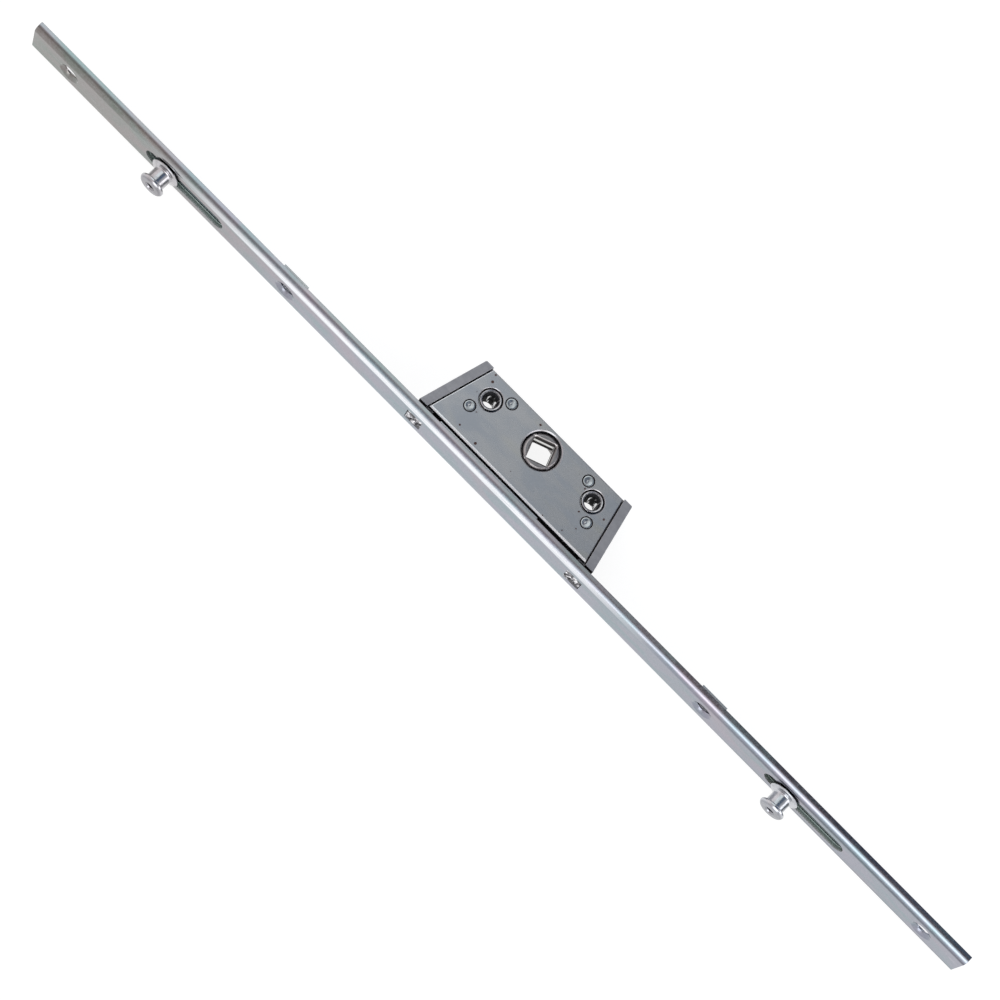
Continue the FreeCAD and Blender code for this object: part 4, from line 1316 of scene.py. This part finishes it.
@dataclass
class Studio(Assembly):
    """The floor, the sky, a soft box and the camera."""

    floor_level: float = -8.0
    floor_size: float = 8000.0
    box_place: Point = (790, -1250, 620)
    box_aim: Point = (790, 0, 0)
    box_size: tuple[float, float] = (1500, 420)
    box_power: float = 2.5
    camera_place: Point = (36.944, -340.409, 997.105)
    camera_right: Point = (0.70449, 0.68228, 0.19543)
    camera_up: Point = (-0.70892, 0.66342, 0.23938)
    camera_ahead: Point = (-0.03367, 0.30718, -0.95105)
    lens: float = 126.27
    sensor: float = 36.0
    floor_finish: FloorWhite = FloorWhite()

    def floor(self) -> None:
        """Lay the floor under the part."""
        plane = bmesh.new()
        bmesh.ops.create_grid(plane, x_segments=4, y_segments=4, size=self.floor_size / 2)
        bmesh.ops.translate(plane, vec=(0, 0, self.floor_level), verts=plane.verts)
        piece = self.shop.publish(plane, "studio_floor", self.floor_finish)

    def sky(self) -> None:
        """Light the part with a pale sky that is graded overhead, as a soft tent is."""
        world = bpy.data.worlds.new("studio_sky")
        bpy.context.scene.world = world
        sheet = Sheet(world, "Generated")
        eased, mixed, maths = sheet.ranged, sheet.blend, sheet.maths
        x, y, z = sheet.split(sheet.coords)

        def fade(low: float, high: float, first: object, second: object) -> Socket:
            """Return a colour that changes from left to right."""
            return mixed(eased(x, low, high), first, second)

        tilt = maths("ARCTAN2", maths("MULTIPLY", y, -1.0), z)
        deep = fade(0.08, 0.165, (0.052, 0.063, 0.082), (0.11, 0.165, 0.255))
        overhead = fade(-0.06, 0.045, (1.2, 1.30, 1.32), deep)
        slope = fade(-0.02, 0.06, (0.60, 0.55, 0.56), (0.17, 0.15, 0.17))
        tent = mixed(eased(tilt, 0.0, 0.34), overhead, slope)
        middle = maths("ADD", eased(x, -0.05, 0.05, 1.35, 1.08), eased(x, 0.1, 0.17, 0, 0.16))
        away = maths("ABSOLUTE", maths("SUBTRACT", tilt, middle))
        strip = sheet.times(eased(away, 0.2, 0.75, 1, 0), eased(x, -0.23, -0.12, 0.5, 1.0))
        lit = mixed(strip, tent, fade(-0.03, 0.06, (1.22, 1.19, 1.19), (2.45, 2.5, 2.5)))
        rear = mixed(eased(tilt, -1.1, -0.6, 1, 0), lit, (0.34, 0.32, 0.37))
        flank = fade(-0.1, 0.1, (1.05, 1.0, 1.0), (0.62, 0.63, 0.66))
        sides = mixed(eased(maths("ABSOLUTE", x), 0.4, 0.7), rear, flank)
        window = sheet.times(eased(x, 0.72, 0.86), eased(z, 0.02, 0.14), eased(z, 0.42, 0.58, 1, 0))
        low = mixed(window, sides, (2.4, 2.4, 2.45))
        path = sheet.add("LightPath", {}).outputs
        seen = maths("MAXIMUM", path["Is Camera Ray"], path["Is Transmission Ray"])
        background = sheet.add("Background", {"Color": mixed(seen, low, WHITE), "Strength": 1.0})
        sheet.add("OutputWorld", {"Surface": background.outputs[0]})

    def soft_box(self) -> None:
        """Hang the rectangular soft box in front of the channel."""
        data = bpy.data.lights.new("front_soft_box", "AREA")
        data.shape = "RECTANGLE"
        data.size, data.size_y = [side * MM for side in self.box_size]
        data.energy = self.box_power
        lamp = bpy.data.objects.new("front_soft_box", data)
        lamp.location = Vector(self.box_place) * MM
        way = Vector(self.box_aim) - Vector(self.box_place)
        lamp.rotation_euler = way.to_track_quat("-Z", "Y").to_euler()
        bpy.context.scene.collection.objects.link(lamp)

    def camera(self) -> None:
        """Set the camera where the photograph was taken from."""
        data = bpy.data.cameras.new("photo_camera")
        data.sensor_width = self.sensor
        data.lens = self.lens
        data.clip_start = 0.02
        data.clip_end = 50.0
        eye = bpy.data.objects.new("photo_camera", data)
        right, up, ahead = Vector(self.camera_right), Vector(self.camera_up), Vector(self.camera_ahead)
        turn = Matrix((right, up, -ahead)).transposed()
        eye.matrix_world = Matrix.Translation(Vector(self.camera_place) * MM) @ turn.to_4x4()
        bpy.context.scene.collection.objects.link(eye)
        bpy.context.scene.camera = eye

    def build(self) -> None:
        """Set up the studio."""
        self.floor()
        self.sky()
        self.soft_box()
        self.camera()
        bpy.context.scene.view_settings.view_transform = "Standard"


def main() -> None:
    """Build every sub-assembly in order."""
    logging.basicConfig(level=logging.INFO, format="%(name)s: %(message)s")
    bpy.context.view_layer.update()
    workshop = Workshop()
    for kind in (Faceplate, GearCase, CoverPlate, CaseRivets, ScrewBushes, MushroomCams, DriveTrain, Studio):
        kind(workshop).build()
    log.info("sizes kept")


if __name__ == "__main__":
    main()
